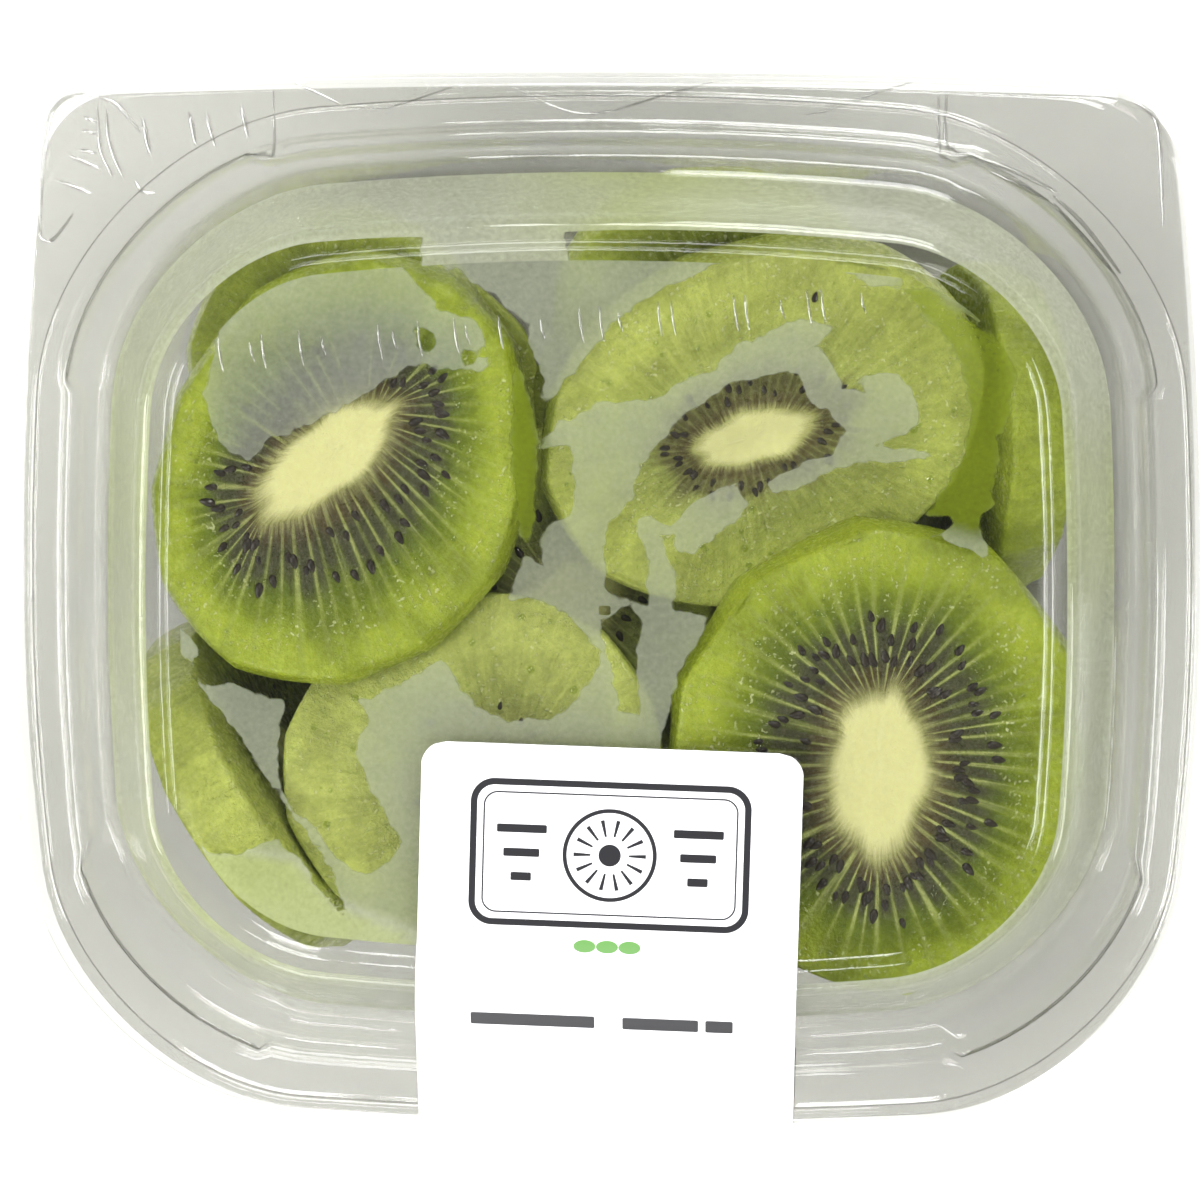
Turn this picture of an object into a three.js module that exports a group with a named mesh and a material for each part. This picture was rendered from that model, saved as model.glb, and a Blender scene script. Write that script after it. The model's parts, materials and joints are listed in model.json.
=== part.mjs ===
// Sliced kiwi fruit in a shut clear plastic box with a hinged lid and a paper label over its front.
// Millimetres, +Z up. The hinge is at the back (+Y), the label at the front (-Y), and the box stands on z = 0.
import * as THREE from "three";

// Box as a whole
const sheetThickness = 0.5;
const rimHeight = 37.6; // upper face of the lid's flat rim
const lidGap = 0.35; // air between the lid's rim and the tub's
const tubRimHeight = rimHeight - sheetThickness - lidGap;

// Plan of the rim: half width, and reach to the back and to the front
const rimHalfWidth = 69.3;
const rimBack = 61.7;
const rimFront = 61.3;
const tubRimCentreX = 0;
const lidRimCentreX = 1.5; // the lid has closed a little to the right of the tub
const wellCentreX = 1.5;
const backCornerRadius = 8;
const frontCornerRadius = 28;
const wellCornerRadius = 25;
const rimWidth = 9; // from the edge to where the well's own plan takes over
const tabInset = 1.2; // beyond it the back corners are flat tabs and every ring runs round the well
const extraSideRim = 0.7;
const extraBackRim = 0.6;
const extraFrontRim = 3.0;
const sideBow = { back: 0.057, front: 0.09 };
const endBow = { back: 0.022, front: 0.055 };
const wellBow = { side: 0.045, end: 0.085 };

const cornerSteps = 7;
const sideSteps = 6;

// Kiwi slices in five layers, with two that stand against the walls. Each has its middle, its tilts about X and
// then Y, the heading of its oval in degrees, its radii and its thickness. Flats is how plainly the knife's cuts
// show round it, and taper how much wider its lower face is than its upper one.
const slices = {
  top_back_left: {
    at: [-29, 16.6, 42.4], tilt: [-1.5, -1], heading: 61, radii: [25.4, 20.8], thick: 5.8, flats: 0.6, taper: 1.2,
  },
  top_back_right: {
    at: [19, 22.2, 37.2], tilt: [6.5, 7.5], heading: 21, radii: [26.4, 20.2], thick: 7.2, flats: 0.5, taper: 0.8,
  },
  top_front_right: {
    at: [33, -16.4, 40.7], tilt: [3, 3], heading: 94, radii: [27.8, 24], thick: 7.2, flats: 1, taper: 0.6,
  },
  top_front_left: {
    at: [-13.7, -18.5, 39.3], tilt: [-7, -4], heading: 15, radii: [21.9, 20.4], thick: 6, flats: 0.5, taper: -0.8,
  },
  standing_front: {
    at: [-39.4, -22.4, 23.6], tilt: [-72, 54], heading: 0, radii: [20.5, 22.5], thick: 8.2, flats: 0.7, taper: 1,
  },
  standing_right: {
    at: [45.6, 19.6, 21.2], tilt: [0, -72], heading: 0, radii: [19.8, 19.4], thick: 7.8, flats: 0.7, taper: -0.8,
  },
  fourth_middle: {
    at: [-4.8, 0.9, 28.7], tilt: [0, 5], heading: 15, radii: [19.4, 18.6], thick: 7, flats: 0.8, taper: 1.4,
  },
  fourth_back_left: {
    at: [-30.5, 28.8, 33], tilt: [-2, -1], heading: 50, radii: [17.6, 17], thick: 9.2, flats: 0.7, taper: 1.6,
  },
  fourth_back: {
    at: [13.5, 33.8, 29.8], tilt: [10, 7], heading: 10, radii: [18.6, 17.2], thick: 7, flats: 0.6, taper: 1,
  },
  fourth_right: {
    at: [37, -15.6, 31], tilt: [3, 3], heading: 75, radii: [17.8, 17], thick: 8, flats: 0.9, taper: 1.8,
  },
  fourth_front: {
    at: [2, -33, 31.2], tilt: [1, 1], heading: 100, radii: [13.4, 13], thick: 9.4, flats: 0.7, taper: 1.8,
  },
  third_back_left: {
    at: [-29.3, 19.4, 21.8], tilt: [-1, 0], heading: 50, radii: [21.4, 20.4], thick: 7.6, flats: 0.8, taper: 1.2,
  },
  third_back_right: {
    at: [12, 21.4, 19.1], tilt: [1, 1], heading: 140, radii: [20.4, 19.6], thick: 6, flats: 0.6, taper: -1,
  },
  third_front_left: {
    at: [-8.6, -22.6, 20.5], tilt: [1, -1], heading: 35, radii: [18.3, 17.8], thick: 6.8, flats: 0.9, taper: 1.4,
  },
  third_front_right: {
    at: [31, -18, 22], tilt: [2, 2], heading: 60, radii: [20.8, 20], thick: 7.8, flats: 0.8, taper: 1.2,
  },
  second_middle: {
    at: [-3, 0.5, 12.8], tilt: [0, 0], heading: 120, radii: [19.2, 18.6], thick: 5.2, flats: 0.7, taper: -1,
  },
  second_back_left: {
    at: [-33.8, 26.2, 13.7], tilt: [0, 1], heading: 20, radii: [16.2, 15.8], thick: 6.8, flats: 0.9, taper: 1.6,
  },
  second_back_right: {
    at: [20, 29.4, 12.8], tilt: [1, 1], heading: 80, radii: [15.6, 15.2], thick: 5.8, flats: 0.7, taper: 1.4,
  },
  second_right: {
    at: [36, -15.2, 14], tilt: [1, 1], heading: 160, radii: [16.2, 15.8], thick: 7.2, flats: 0.8, taper: -1.4,
  },
  second_front: {
    at: [6.4, -31, 13.5], tilt: [0, 0], heading: 45, radii: [12.6, 12.2], thick: 6.2, flats: 0.6, taper: 1.8,
  },
  first_back_left: {
    at: [-29.4, 19.4, 6.1], tilt: [0, 1], heading: 30, radii: [20.8, 20], thick: 7.6, flats: 0.7, taper: -1.2,
  },
  first_back_right: {
    at: [12.4, 20.6, 5.6], tilt: [0, 0], heading: 110, radii: [20.2, 19.6], thick: 7.2, flats: 0.9, taper: -1,
  },
  first_front_left: {
    at: [-8.6, -23, 6.1], tilt: [1, 0], heading: 70, radii: [18, 17.6], thick: 7.6, flats: 0.8, taper: -1.4,
  },
  first_front_right: {
    at: [30, -17.4, 6.1], tilt: [1, 1], heading: 150, radii: [20.2, 19.4], thick: 7.4, flats: 0.6, taper: -1.2,
  },
};
const slicePoints = 22;
const peelFacets = 12; // flats that the knife left round a slice
const flatShare = 0.986; // mean radius of an outline with its flats, against the plain oval
const faceEdge = 0.7; // rounding between a cut face and the peeled edge

// Label: its middle line starts on the lid's panel, crosses the raised border and hangs over the front edge
const labelWidth = 44;
const labelThickness = 0.25;
const labelCentreX = 2.9;
const labelTop = -14.4;
const labelTurn = -1.6; // degrees about Z
const labelCornerRadius = 2.8;

const mix = (a, b, t) => a + (b - a) * Math.min(1, Math.max(0, t));

// The plan at a given distance in from the rim's edge
function plan(inset, rimCentreX) {
  const toWell = inset / rimWidth;
  const eased = toWell >= 1 ? 1 : toWell * toWell * (3 - 2 * toWell);
  const past = Math.max(0, inset - rimWidth);
  const shrink = past * 0.95;
  return {
    x: mix(rimCentreX, wellCentreX, eased),
    half: rimHalfWidth - inset - extraSideRim * eased,
    back: rimBack - inset - extraBackRim * eased,
    front: rimFront - inset - extraFrontRim * eased,
    backRadius: inset < tabInset ? backCornerRadius : wellCornerRadius - (inset - rimWidth) * 0.95,
    frontRadius: mix(frontCornerRadius, wellCornerRadius, eased) - shrink,
    sideBowBack: mix(sideBow.back, wellBow.side, eased),
    sideBowFront: mix(sideBow.front, wellBow.side, eased),
    endBowBack: inset < tabInset ? endBow.back : wellBow.end,
    endBowFront: mix(endBow.front, wellBow.end, eased),
  };
}

// One closed ring of points round the box, anticlockwise seen from above
function ring(inset, z, rimCentreX) {
  const p = plan(inset, rimCentreX);
  const corners = [
    { sx: 1, sy: 1, reach: p.back, radius: p.backRadius, from: 0 },
    { sx: -1, sy: 1, reach: p.back, radius: p.backRadius, from: 90 },
    { sx: -1, sy: -1, reach: p.front, radius: p.frontRadius, from: 180 },
    { sx: 1, sy: -1, reach: p.front, radius: p.frontRadius, from: 270 },
  ];
  const points = [];
  corners.forEach((c, index) => {
    for (let i = 0; i <= cornerSteps; i++) {
      const a = THREE.MathUtils.degToRad(c.from + (90 * i) / cornerSteps);
      points.push([
        c.sx * (p.half - c.radius) + c.radius * Math.cos(a),
        c.sy * (c.reach - c.radius) + c.radius * Math.sin(a),
      ]);
    }
    const next = corners[(index + 1) % corners.length];
    const a = THREE.MathUtils.degToRad(next.from);
    const end = [
      next.sx * (p.half - next.radius) + next.radius * Math.cos(a),
      next.sy * (next.reach - next.radius) + next.radius * Math.sin(a),
    ];
    const start = points[points.length - 1];
    for (let i = 1; i < sideSteps; i++) {
      const t = i / sideSteps;
      points.push([mix(start[0], end[0], t), mix(start[1], end[1], t)]);
    }
  });
  return points.map(([x, y]) => {
    const alongY = y > 0 ? y / p.back : y / p.front;
    const alongX = x / p.half;
    const bowX = y > 0 ? p.sideBowBack : p.sideBowFront;
    const bowY = y > 0 ? p.endBowBack : p.endBowFront;
    return [p.x + x * (1 - bowX * alongY ** 2), y * (1 - bowY * alongX ** 2), z];
  });
}

// A closed solid through rings of equal length, from the first ring's centre to the last one's
function loft(rings) {
  const n = rings[0].length;
  const positions = rings.flat();
  const middle = (points) =>
    [0, 1, 2].map((k) => points.reduce((sum, q) => sum + q[k], 0) / points.length);
  const first = positions.push(middle(rings[0])) - 1;
  const last = positions.push(middle(rings[rings.length - 1])) - 1;
  const index = [];
  for (let j = 0; j < n; j++) {
    const k = (j + 1) % n;
    index.push(first, j, k);
    for (let i = 0; i + 1 < rings.length; i++) {
      const a = i * n + j;
      const b = i * n + k;
      index.push(a, a + n, b, b, a + n, b + n);
    }
    const base = (rings.length - 1) * n;
    index.push(last, base + k, base + j);
  }
  const geometry = new THREE.BufferGeometry();
  geometry.setAttribute("position", new THREE.Float32BufferAttribute(positions.flat(), 3));
  geometry.setIndex(index);
  geometry.computeVertexNormals();
  return geometry;
}

// The same profile moved by the sheet's thickness to its lower side
function lowerSide(profile) {
  return profile.map(([inset, z], i) => {
    const before = profile[Math.max(0, i - 1)];
    const after = profile[Math.min(profile.length - 1, i + 1)];
    const din = new THREE.Vector2(inset - before[0], z - before[1]);
    const dout = new THREE.Vector2(after[0] - inset, after[1] - z);
    const a = din.lengthSq() ? din.normalize() : dout.clone().normalize();
    const b = dout.lengthSq() ? dout.normalize() : a;
    const along = a.clone().add(b).normalize();
    const square = Math.max(0.6, along.dot(b));
    const shift = sheetThickness / square;
    return [inset + along.y * shift, z - along.x * shift];
  });
}

// A formed plastic sheet: the profile runs from the edge of the rim in to the middle
function formedSheet(profile, rimCentreX) {
  const upper = profile.map(([inset, z]) => ring(inset, z, rimCentreX));
  const lower = lowerSide(profile).map(([inset, z]) => ring(inset, z, rimCentreX));
  return loft([...upper.reverse(), ...lower]);
}

const lidProfile = [
  [0.8, 0],
  [1.3, 0],
  [1.8, 0.4],
  [2.4, 0],
  [5.6, 0],
  [6.2, 0.9],
  [7.0, 0.9],
  [8.0, -1.9],
  [9.2, -1.9],
  [10.3, 1.0],
  [14.3, 9.6],
  [15.2, 10.4],
  [17.4, 10.4],
  [18.3, 9.3],
].map(([inset, z]) => [inset, rimHeight + z]);

const tubProfile = [
  [-0.2, -1.8],
  [0, 0],
  [4.8, 0],
  [5.6, -2.2],
  [7.8, -2.6],
  [8.8, -4.4],
  [12.6, -20],
  [15.4, -33.0],
  [17.6, -36.0],
  [19.4, -tubRimHeight + sheetThickness],
  [21.6, -tubRimHeight + sheetThickness],
  [22.8, -tubRimHeight + sheetThickness + 0.9],
].map(([inset, z]) => [inset, tubRimHeight + z]);

// Folded hinge: a bowed strip that joins the two back edges
const hingeLength = 104;
const hingeGap = 0.3;
const hingeSection = [
  [0, -1.5],
  [0.35, -1.1],
  [0.5, 0],
  [0.35, 1.1],
  [0, 1.5],
];
function hingeStrip() {
  const stations = 12;
  const p = plan(0, tubRimCentreX);
  const sections = Array.from({ length: stations + 1 }, (_, i) => {
    const x = hingeLength * (i / stations - 0.5);
    const edge = p.back * (1 - p.endBowBack * (x / p.half) ** 2) + hingeGap;
    return hingeSection.map(([dy, dz]) => [x, edge + dy, tubRimHeight + sheetThickness / 2 + dz]);
  });
  return loft(sections.reverse());
}

const pack = new THREE.Group();

function add(name, geometry, colour, roughness, opacity = 1) {
  const material = new THREE.MeshStandardMaterial({ color: colour, roughness, metalness: 0 });
  material.transparent = opacity < 1;
  material.opacity = opacity;
  const mesh = new THREE.Mesh(geometry, material);
  mesh.name = name;
  pack.add(mesh);
  return mesh;
}

add("tub", formedSheet(tubProfile, tubRimCentreX), 0xe4e8e6, 0.08, 0.35);
add("lid", formedSheet(lidProfile, lidRimCentreX), 0xe4e8e6, 0.08, 0.35);

// Plan radius of a slice at an angle: an oval with flats where the peel was cut away, all a little uneven
function sliceRadius(angle, { radii, flats }, seed) {
  const warped = angle + 0.1 * Math.sin(2 * angle + seed) + 0.06 * Math.sin(3 * angle + 2 * seed);
  const step = (2 * Math.PI) / peelFacets;
  const within = ((warped % step) + step) % step;
  const flat = (Math.cos(step / 2) / Math.cos(within - step / 2)) ** flats;
  const oval = 1 / Math.hypot(Math.cos(angle) / radii[0], Math.sin(angle) / radii[1]);
  const uneven = 1 + 0.012 * Math.sin(2 * angle + 3 * seed) + 0.014 * Math.sin(3 * angle + seed);
  return (oval * flat * uneven) / flatShare;
}

function kiwiSlice(slice, seed) {
  const half = slice.thick / 2;
  const levels = [
    { grow: -faceEdge * 1.2, z: half },
    { grow: 0, z: half - faceEdge },
    { grow: 0, z: -half + faceEdge },
    { grow: -faceEdge * 1.2, z: -half },
  ];
  return loft(
    levels.map(({ grow, z }) =>
      Array.from({ length: slicePoints }, (_, i) => {
        const angle = (2 * Math.PI * i) / slicePoints;
        const r = sliceRadius(angle, slice, seed) + grow - (slice.taper * z) / slice.thick;
        return [r * Math.cos(angle), r * Math.sin(angle), z];
      }),
    ),
  );
}

Object.entries(slices).forEach(([name, slice], index) => {
  const mesh = add("slice_" + name, kiwiSlice(slice, index * 1.7), 0x9db53c, 0.45);
  mesh.position.set(...slice.at);
  const [tiltX, tiltY] = slice.tilt.map(THREE.MathUtils.degToRad);
  mesh.rotation.set(tiltX, tiltY, THREE.MathUtils.degToRad(slice.heading), "XYZ");
});

// The paper's middle line as [y, z] of its lower side, from the top edge to the tail
const panelLevel = rimHeight + 9.3;
const labelLine = [
  [labelTop, panelLevel + 0.45],
  [-37.4, panelLevel + 0.45],
  [-39.6, panelLevel + 1.6],
  [-44.6, panelLevel + 1.6],
  [-60.4, rimHeight + 1.0],
  [-61.7, rimHeight - 0.6],
  [-61.9, rimHeight - 2.4],
  [-61.1, rimHeight - 3.5],
  [-56.6, rimHeight - 4.9],
  [-52.0, rimHeight - 4.9],
];

function paperLabel() {
  const half = labelWidth / 2;
  const r = labelCornerRadius;
  const rows = [];
  const cornerRows = 4;
  const place = (y, z, width) => rows.push({ y, z, width });
  for (let i = 0; i < cornerRows; i++) {
    const a = (Math.PI / 2) * (i / cornerRows);
    place(labelTop - r * (1 - Math.cos(a)), labelLine[0][1], half - r * (1 - Math.sin(a)));
  }
  place(labelTop - r, labelLine[0][1], half);
  labelLine.slice(1).forEach(([y, z]) => place(y, z, half));
  const lines = rows.map((row, i) => {
    const before = rows[Math.max(0, i - 1)];
    const after = rows[Math.min(rows.length - 1, i + 1)];
    const along = new THREE.Vector2(after.y - before.y, after.z - before.z).normalize();
    const lift = [along.y * labelThickness, -along.x * labelThickness];
    return { low: [row.y, row.z], high: [row.y + lift[0], row.z + lift[1]], width: row.width };
  });
  const rings = lines.map((l) => [
    [l.width, l.high[0], l.high[1]],
    [-l.width, l.high[0], l.high[1]],
    [-l.width, l.low[0], l.low[1]],
    [l.width, l.low[0], l.low[1]],
  ]);
  return loft(rings.reverse());
}

const label = add("label", paperLabel(), 0xffffff, 0.6);
label.position.x = labelCentreX;
label.rotation.z = THREE.MathUtils.degToRad(labelTurn);

add("hinge_strip", hingeStrip(), 0xdfe3e1, 0.1, 0.4);

export default pack;
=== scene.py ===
import json
import math

import bpy
import numpy as np
from mathutils import Matrix, Vector

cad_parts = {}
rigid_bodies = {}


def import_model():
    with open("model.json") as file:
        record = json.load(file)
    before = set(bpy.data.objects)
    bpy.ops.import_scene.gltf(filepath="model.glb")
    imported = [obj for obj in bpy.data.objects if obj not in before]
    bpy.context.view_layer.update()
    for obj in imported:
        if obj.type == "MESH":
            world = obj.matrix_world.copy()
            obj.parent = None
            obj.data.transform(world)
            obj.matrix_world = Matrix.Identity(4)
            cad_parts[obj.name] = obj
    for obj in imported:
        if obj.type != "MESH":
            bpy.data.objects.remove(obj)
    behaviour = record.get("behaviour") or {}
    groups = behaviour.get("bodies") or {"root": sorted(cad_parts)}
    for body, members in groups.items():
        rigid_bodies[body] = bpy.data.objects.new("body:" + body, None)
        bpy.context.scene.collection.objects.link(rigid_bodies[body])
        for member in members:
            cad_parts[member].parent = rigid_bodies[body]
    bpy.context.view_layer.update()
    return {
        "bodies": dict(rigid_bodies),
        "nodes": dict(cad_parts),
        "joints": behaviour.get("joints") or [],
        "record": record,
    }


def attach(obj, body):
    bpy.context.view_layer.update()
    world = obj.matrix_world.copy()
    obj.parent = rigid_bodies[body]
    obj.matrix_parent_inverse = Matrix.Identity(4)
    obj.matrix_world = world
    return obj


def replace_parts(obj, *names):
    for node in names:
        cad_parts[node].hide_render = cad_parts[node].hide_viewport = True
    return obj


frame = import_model()
mm = 0.001  # every size below is in millimetres

photoView = {
    "aim": (0.5, 1.4, 38.0),  # the point in the middle of the picture
    "towards": (36.0, 88.0, 650.0),  # from there to the camera
    "distance": 650.0,
    "acrossPicture": 139.4,  # width of the view at the aim point
    "sensor": 36.0,
}


def makeCamera(view):
    out = Vector(view["towards"]).normalized()
    up = Vector((0, 1, 0))
    up = (up - out * up.dot(out)).normalized()
    right = up.cross(out)
    data = bpy.data.cameras.new("camera")
    data.sensor_width = view["sensor"]
    data.sensor_fit = "HORIZONTAL"
    data.lens = view["sensor"] * view["distance"] / view["acrossPicture"]
    data.clip_start = 0.01
    camera = bpy.data.objects.new("camera", data)
    bpy.context.scene.collection.objects.link(camera)
    turn = Matrix((right, up, out)).transposed().to_4x4()
    place = (Vector(view["aim"]) + out * view["distance"]) * mm
    camera.matrix_world = Matrix.Translation(place) @ turn
    bpy.context.scene.camera = camera


makeCamera(photoView)


class Num:  # a number in a node tree: sums written with it add Math nodes
    def __init__(self, finish, socket):
        self.finish = finish
        self.socket = socket

    def math(self, operation, *values):
        socket = self.finish.out("ShaderNodeMath", {"operation": operation}, dict(enumerate(values)))
        return Num(self.finish, socket)

    def __add__(self, other):
        return self.math("ADD", self, other)

    def __sub__(self, other):
        return self.math("SUBTRACT", self, other)

    def __rsub__(self, other):
        return self.math("SUBTRACT", other, self)

    def __mul__(self, other):
        return self.math("MULTIPLY", self, other)

    def __truediv__(self, other):
        return self.math("DIVIDE", self, other)

    def __pow__(self, other):
        return self.math("POWER", self, other)

    __radd__ = __add__
    __rmul__ = __mul__

    def absolute(self):
        return self.math("ABSOLUTE", self)

    def high(self, other):
        return self.math("MAXIMUM", self, other)

    def cosine(self):
        return self.math("COSINE", self)

    def step(self, start, end):  # 0 before start, 1 after end, smooth between
        settings = {"interpolation_type": "SMOOTHSTEP"}
        values = {"Value": self, "From Min": start, "From Max": end}
        return Num(self.finish, self.finish.out("ShaderNodeMapRange", settings, values, "Result"))


class NodeTree:  # what material trees and Geometry Nodes trees share
    def __init__(self, tree):
        self.tree = tree

    def node(self, kind, settings=None, values=None):
        node = self.tree.nodes.new(kind)
        for key, value in (settings or {}).items():
            if key == "stops":
                self.setStops(node.color_ramp, value)
            else:
                setattr(node, key, value)
        for key, value in (values or {}).items():
            if isinstance(value, Num):
                value = value.socket
            if isinstance(value, bpy.types.NodeSocket):
                self.tree.links.new(value, node.inputs[key])
            else:
                node.inputs[key].default_value = value
        return node

    def out(self, kind, settings=None, values=None, output=0):  # a new node's output
        return self.node(kind, settings, values).outputs[output]

    def join(self, x, y, z):
        return self.out("ShaderNodeCombineXYZ", values={0: x, 1: y, 2: z})

    def setStops(self, ramp, stops):
        while len(ramp.elements) < len(stops):
            ramp.elements.new(0.5)
        for element, (place, tint) in zip(ramp.elements, stops):
            element.position = place
            element.color = tint


class Finish(NodeTree):  # a material and its node tree
    def __init__(self, name):
        self.material = bpy.data.materials.new(name)
        self.material.use_nodes = True
        super().__init__(self.material.node_tree)
        self.tree.nodes.clear()

    def attribute(self, name, output="Fac"):
        socket = self.out("ShaderNodeAttribute", {"attribute_name": name}, output=output)
        return socket if output == "Vector" else Num(self, socket)

    def place(self):
        return self.out("ShaderNodeTexCoord", output="Object")

    def split(self, vector):
        node = self.node("ShaderNodeSeparateXYZ", values={0: vector})
        return [Num(self, socket) for socket in node.outputs]

    def noise(self, vector, scale, detail=2.0, roughness=0.5):
        values = {"Vector": vector, "Scale": scale, "Detail": detail, "Roughness": roughness}
        return Num(self, self.out("ShaderNodeTexNoise", values=values))

    def mix(self, factor, first, second):
        return self.out("ShaderNodeMix", {"data_type": "RGBA"}, {0: factor, 6: first, 7: second}, 2)

    def ramp(self, factor, stops):
        return self.out("ShaderNodeValToRGB", {"stops": stops}, {0: factor})

    def blend(self, factor, first, second):
        return self.out("ShaderNodeMixShader", values={0: factor, 1: first, 2: second})

    def bump(self, height, strength, distance):
        values = {"Height": height, "Strength": strength, "Distance": distance * mm}
        return self.out("ShaderNodeBump", values=values)

    def principled(self, **values):
        named = {key.replace("_", " "): value for key, value in values.items()}
        return self.out("ShaderNodeBsdfPrincipled", values=named)

    def film(self, kind, tint):  # a see-through or translucent layer of one colour
        return self.out("ShaderNodeBsdf" + kind, values={"Color": tint})

    def surface(self, shader):
        self.node("ShaderNodeOutputMaterial", values={"Surface": shader})
        return self.material


def colour(red, green, blue):  # from the 0 to 255 of a screen to Blender's linear colour
    parts = [c / 255 for c in (red, green, blue)]
    linear = [p / 12.92 if p <= 0.04045 else ((p + 0.055) / 1.055) ** 2.4 for p in parts]
    return (*linear, 1.0)


# Clear plastic: what is behind it, dimmed more where it is seen aslant, and a mirror at its surface
clearLook = {
    "straightThrough": colour(231, 231, 229),
    "slantedThrough": colour(208, 208, 204),
    "mirrorHeadOn": 0.025,
    "mirrorRoughness": 0.07,
}


def clearFinish(name, look):
    finish = Finish(name)
    slant = Num(finish, finish.out("ShaderNodeLayerWeight", values={"Blend": 0.5}, output="Facing"))
    straight = finish.film("Transparent", look["straightThrough"])
    slanted = finish.film("Transparent", look["slantedThrough"])
    through = finish.blend(slant ** 4.0, straight, slanted)
    gloss = {"Color": (1, 1, 1, 1), "Roughness": look["mirrorRoughness"]}
    mirror = finish.out("ShaderNodeBsdfAnisotropic", values=gloss)
    headOn = look["mirrorHeadOn"]
    return finish.surface(finish.blend(slant ** 5.0 * (1 - headOn) + headOn, through, mirror))


def makeMesh(name, points, faces, finish, attributes=None, edges=()):
    data = bpy.data.meshes.new(name)
    data.from_pydata((np.asarray(points, float) * mm).tolist(), list(edges), faces)
    for key, values in (attributes or {}).items():
        values = np.asarray(values, np.float32)
        vector = values.ndim == 2
        layer = data.attributes.new(key, "FLOAT_VECTOR" if vector else "FLOAT", "POINT")
        layer.data.foreach_set("vector" if vector else "value", values.ravel())
    data.materials.append(finish)
    data.shade_smooth()
    piece = bpy.data.objects.new(name, data)
    bpy.context.scene.collection.objects.link(piece)
    return piece


def keepPiece(piece):
    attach(piece, "root")
    return piece


def addPiece(name, points, faces, finish, attributes=None):
    return keepPiece(makeMesh(name, points, faces, finish, attributes))


def stripFaces(count, around, start=0):  # skin over rings of equal length
    faces = []
    for i in range(count - 1):
        a = start + i * around
        for j in range(around):
            k = (j + 1) % around
            faces.append((a + j, a + around + j, a + around + k, a + k))
    return faces


def ringFaces(count, around):  # the same, closed by a fan at each end
    first = count * around
    faces = stripFaces(count, around)
    for j in range(around):
        k = (j + 1) % around
        faces.append((first, j, k))
        faces.append((first + 1, first - around + k, first - around + j))
    return faces


def closedPoints(rings):  # the rings' points and the middles of the first and last ring
    return np.vstack(rings + [rings[0].mean(axis=0)[None], rings[-1].mean(axis=0)[None]])


def between(a, b, t):
    return a + (b - a) * t


# The box: its plan at any distance in from the edge, and its formed sheets
packBox = {
    "sheet": 0.5,
    "rimHeight": 37.6,
    "lidGap": 0.35,
    "rimHalfWidth": 69.3,
    "rimBack": 61.7,
    "rimFront": 61.3,
    "rimWidth": 9.0,
    "tubCentreX": 0.0,
    "lidCentreX": 1.5,
    "wellCentreX": 1.5,
    "backCorner": 8.0,
    "frontCorner": 28.0,
    "wellCorner": 25.0,
    "wellTightens": 0.95,  # how much its corner radius loses for each millimetre farther in
    "borderRise": 10.4,
    "panelRise": 9.3,
    "tabInset": 0.85,  # beyond it the back corners are flat tabs and every ring runs round the well
    "tabBlend": 0.2,
    "extraSide": 0.7,
    "extraBack": 0.6,
    "extraFront": 3.0,
    "sideBow": (0.057, 0.09),  # back, front
    "endBow": (0.022, 0.055),
    "wellSideBow": 0.045,
    "wellEndBow": 0.085,
    "wave": 0.035,  # the sheets aren't quite flat
    "cornerSteps": 26,
    "sideSteps": 40,
    "panelRings": 12,
}
tubRimHeight = packBox["rimHeight"] - packBox["sheet"] - packBox["lidGap"]
panelLevel = packBox["rimHeight"] + packBox["panelRise"]


def planRing(inset, centreX, box=packBox):  # one ring of points, anticlockwise seen from above
    t = min(1, max(0, inset / box["rimWidth"]))
    eased = t * t * (3 - 2 * t)
    inside = min(1, max(0, (inset - box["tabInset"]) / box["tabBlend"]))
    aroundWell = box["wellCorner"] - box["wellTightens"] * (inset - box["rimWidth"])
    half = box["rimHalfWidth"] - inset - box["extraSide"] * eased
    back = box["rimBack"] - inset - box["extraBack"] * eased
    front = box["rimFront"] - inset - box["extraFront"] * eased
    backRadius = between(box["backCorner"], aroundWell, inside)
    frontRadius = between(box["frontCorner"], min(aroundWell, box["wellCorner"]), eased)
    corners = [
        (1, 1, back, backRadius, 0),
        (-1, 1, back, backRadius, 90),
        (-1, -1, front, frontRadius, 180),
        (1, -1, front, frontRadius, 270),
    ]
    arcs = []
    for sx, sy, reach, radius, start in corners:
        a = np.radians(start + np.linspace(0, 90, box["cornerSteps"] + 1))
        middle = np.array([sx * (half - radius), sy * (reach - radius)])
        arcs.append(middle + radius * np.column_stack([np.cos(a), np.sin(a)]))
    points = []
    for arc, following in zip(arcs, arcs[1:] + arcs[:1]):
        t = np.linspace(0, 1, box["sideSteps"] + 1)[1:-1, None]
        points += [arc, between(arc[-1], following[0], t)]
    x, y = np.vstack(points).T
    behind = y > 0
    alongY = np.where(behind, y / back, y / front)
    alongX = x / half
    sideBow = [between(bow, box["wellSideBow"], eased) for bow in box["sideBow"]]
    endBowBack = between(box["endBow"][0], box["wellEndBow"], inside)
    endBowFront = between(box["endBow"][1], box["wellEndBow"], eased)
    bowX = np.where(behind, sideBow[0], sideBow[1])
    bowY = np.where(behind, endBowBack, endBowFront)
    centre = between(centreX, box["wellCentreX"], eased)
    return np.column_stack([centre + x * (1 - bowX * alongY**2), y * (1 - bowY * alongX**2)])


def sheetWave(x, y, box=packBox):
    long = np.sin(0.29 * x + 0.13 * y) + np.sin(0.17 * y - 0.21 * x + 2)
    short = 0.7 * np.sin(0.55 * x + 0.41 * y + 1)
    return box["wave"] * (long + short)


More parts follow.
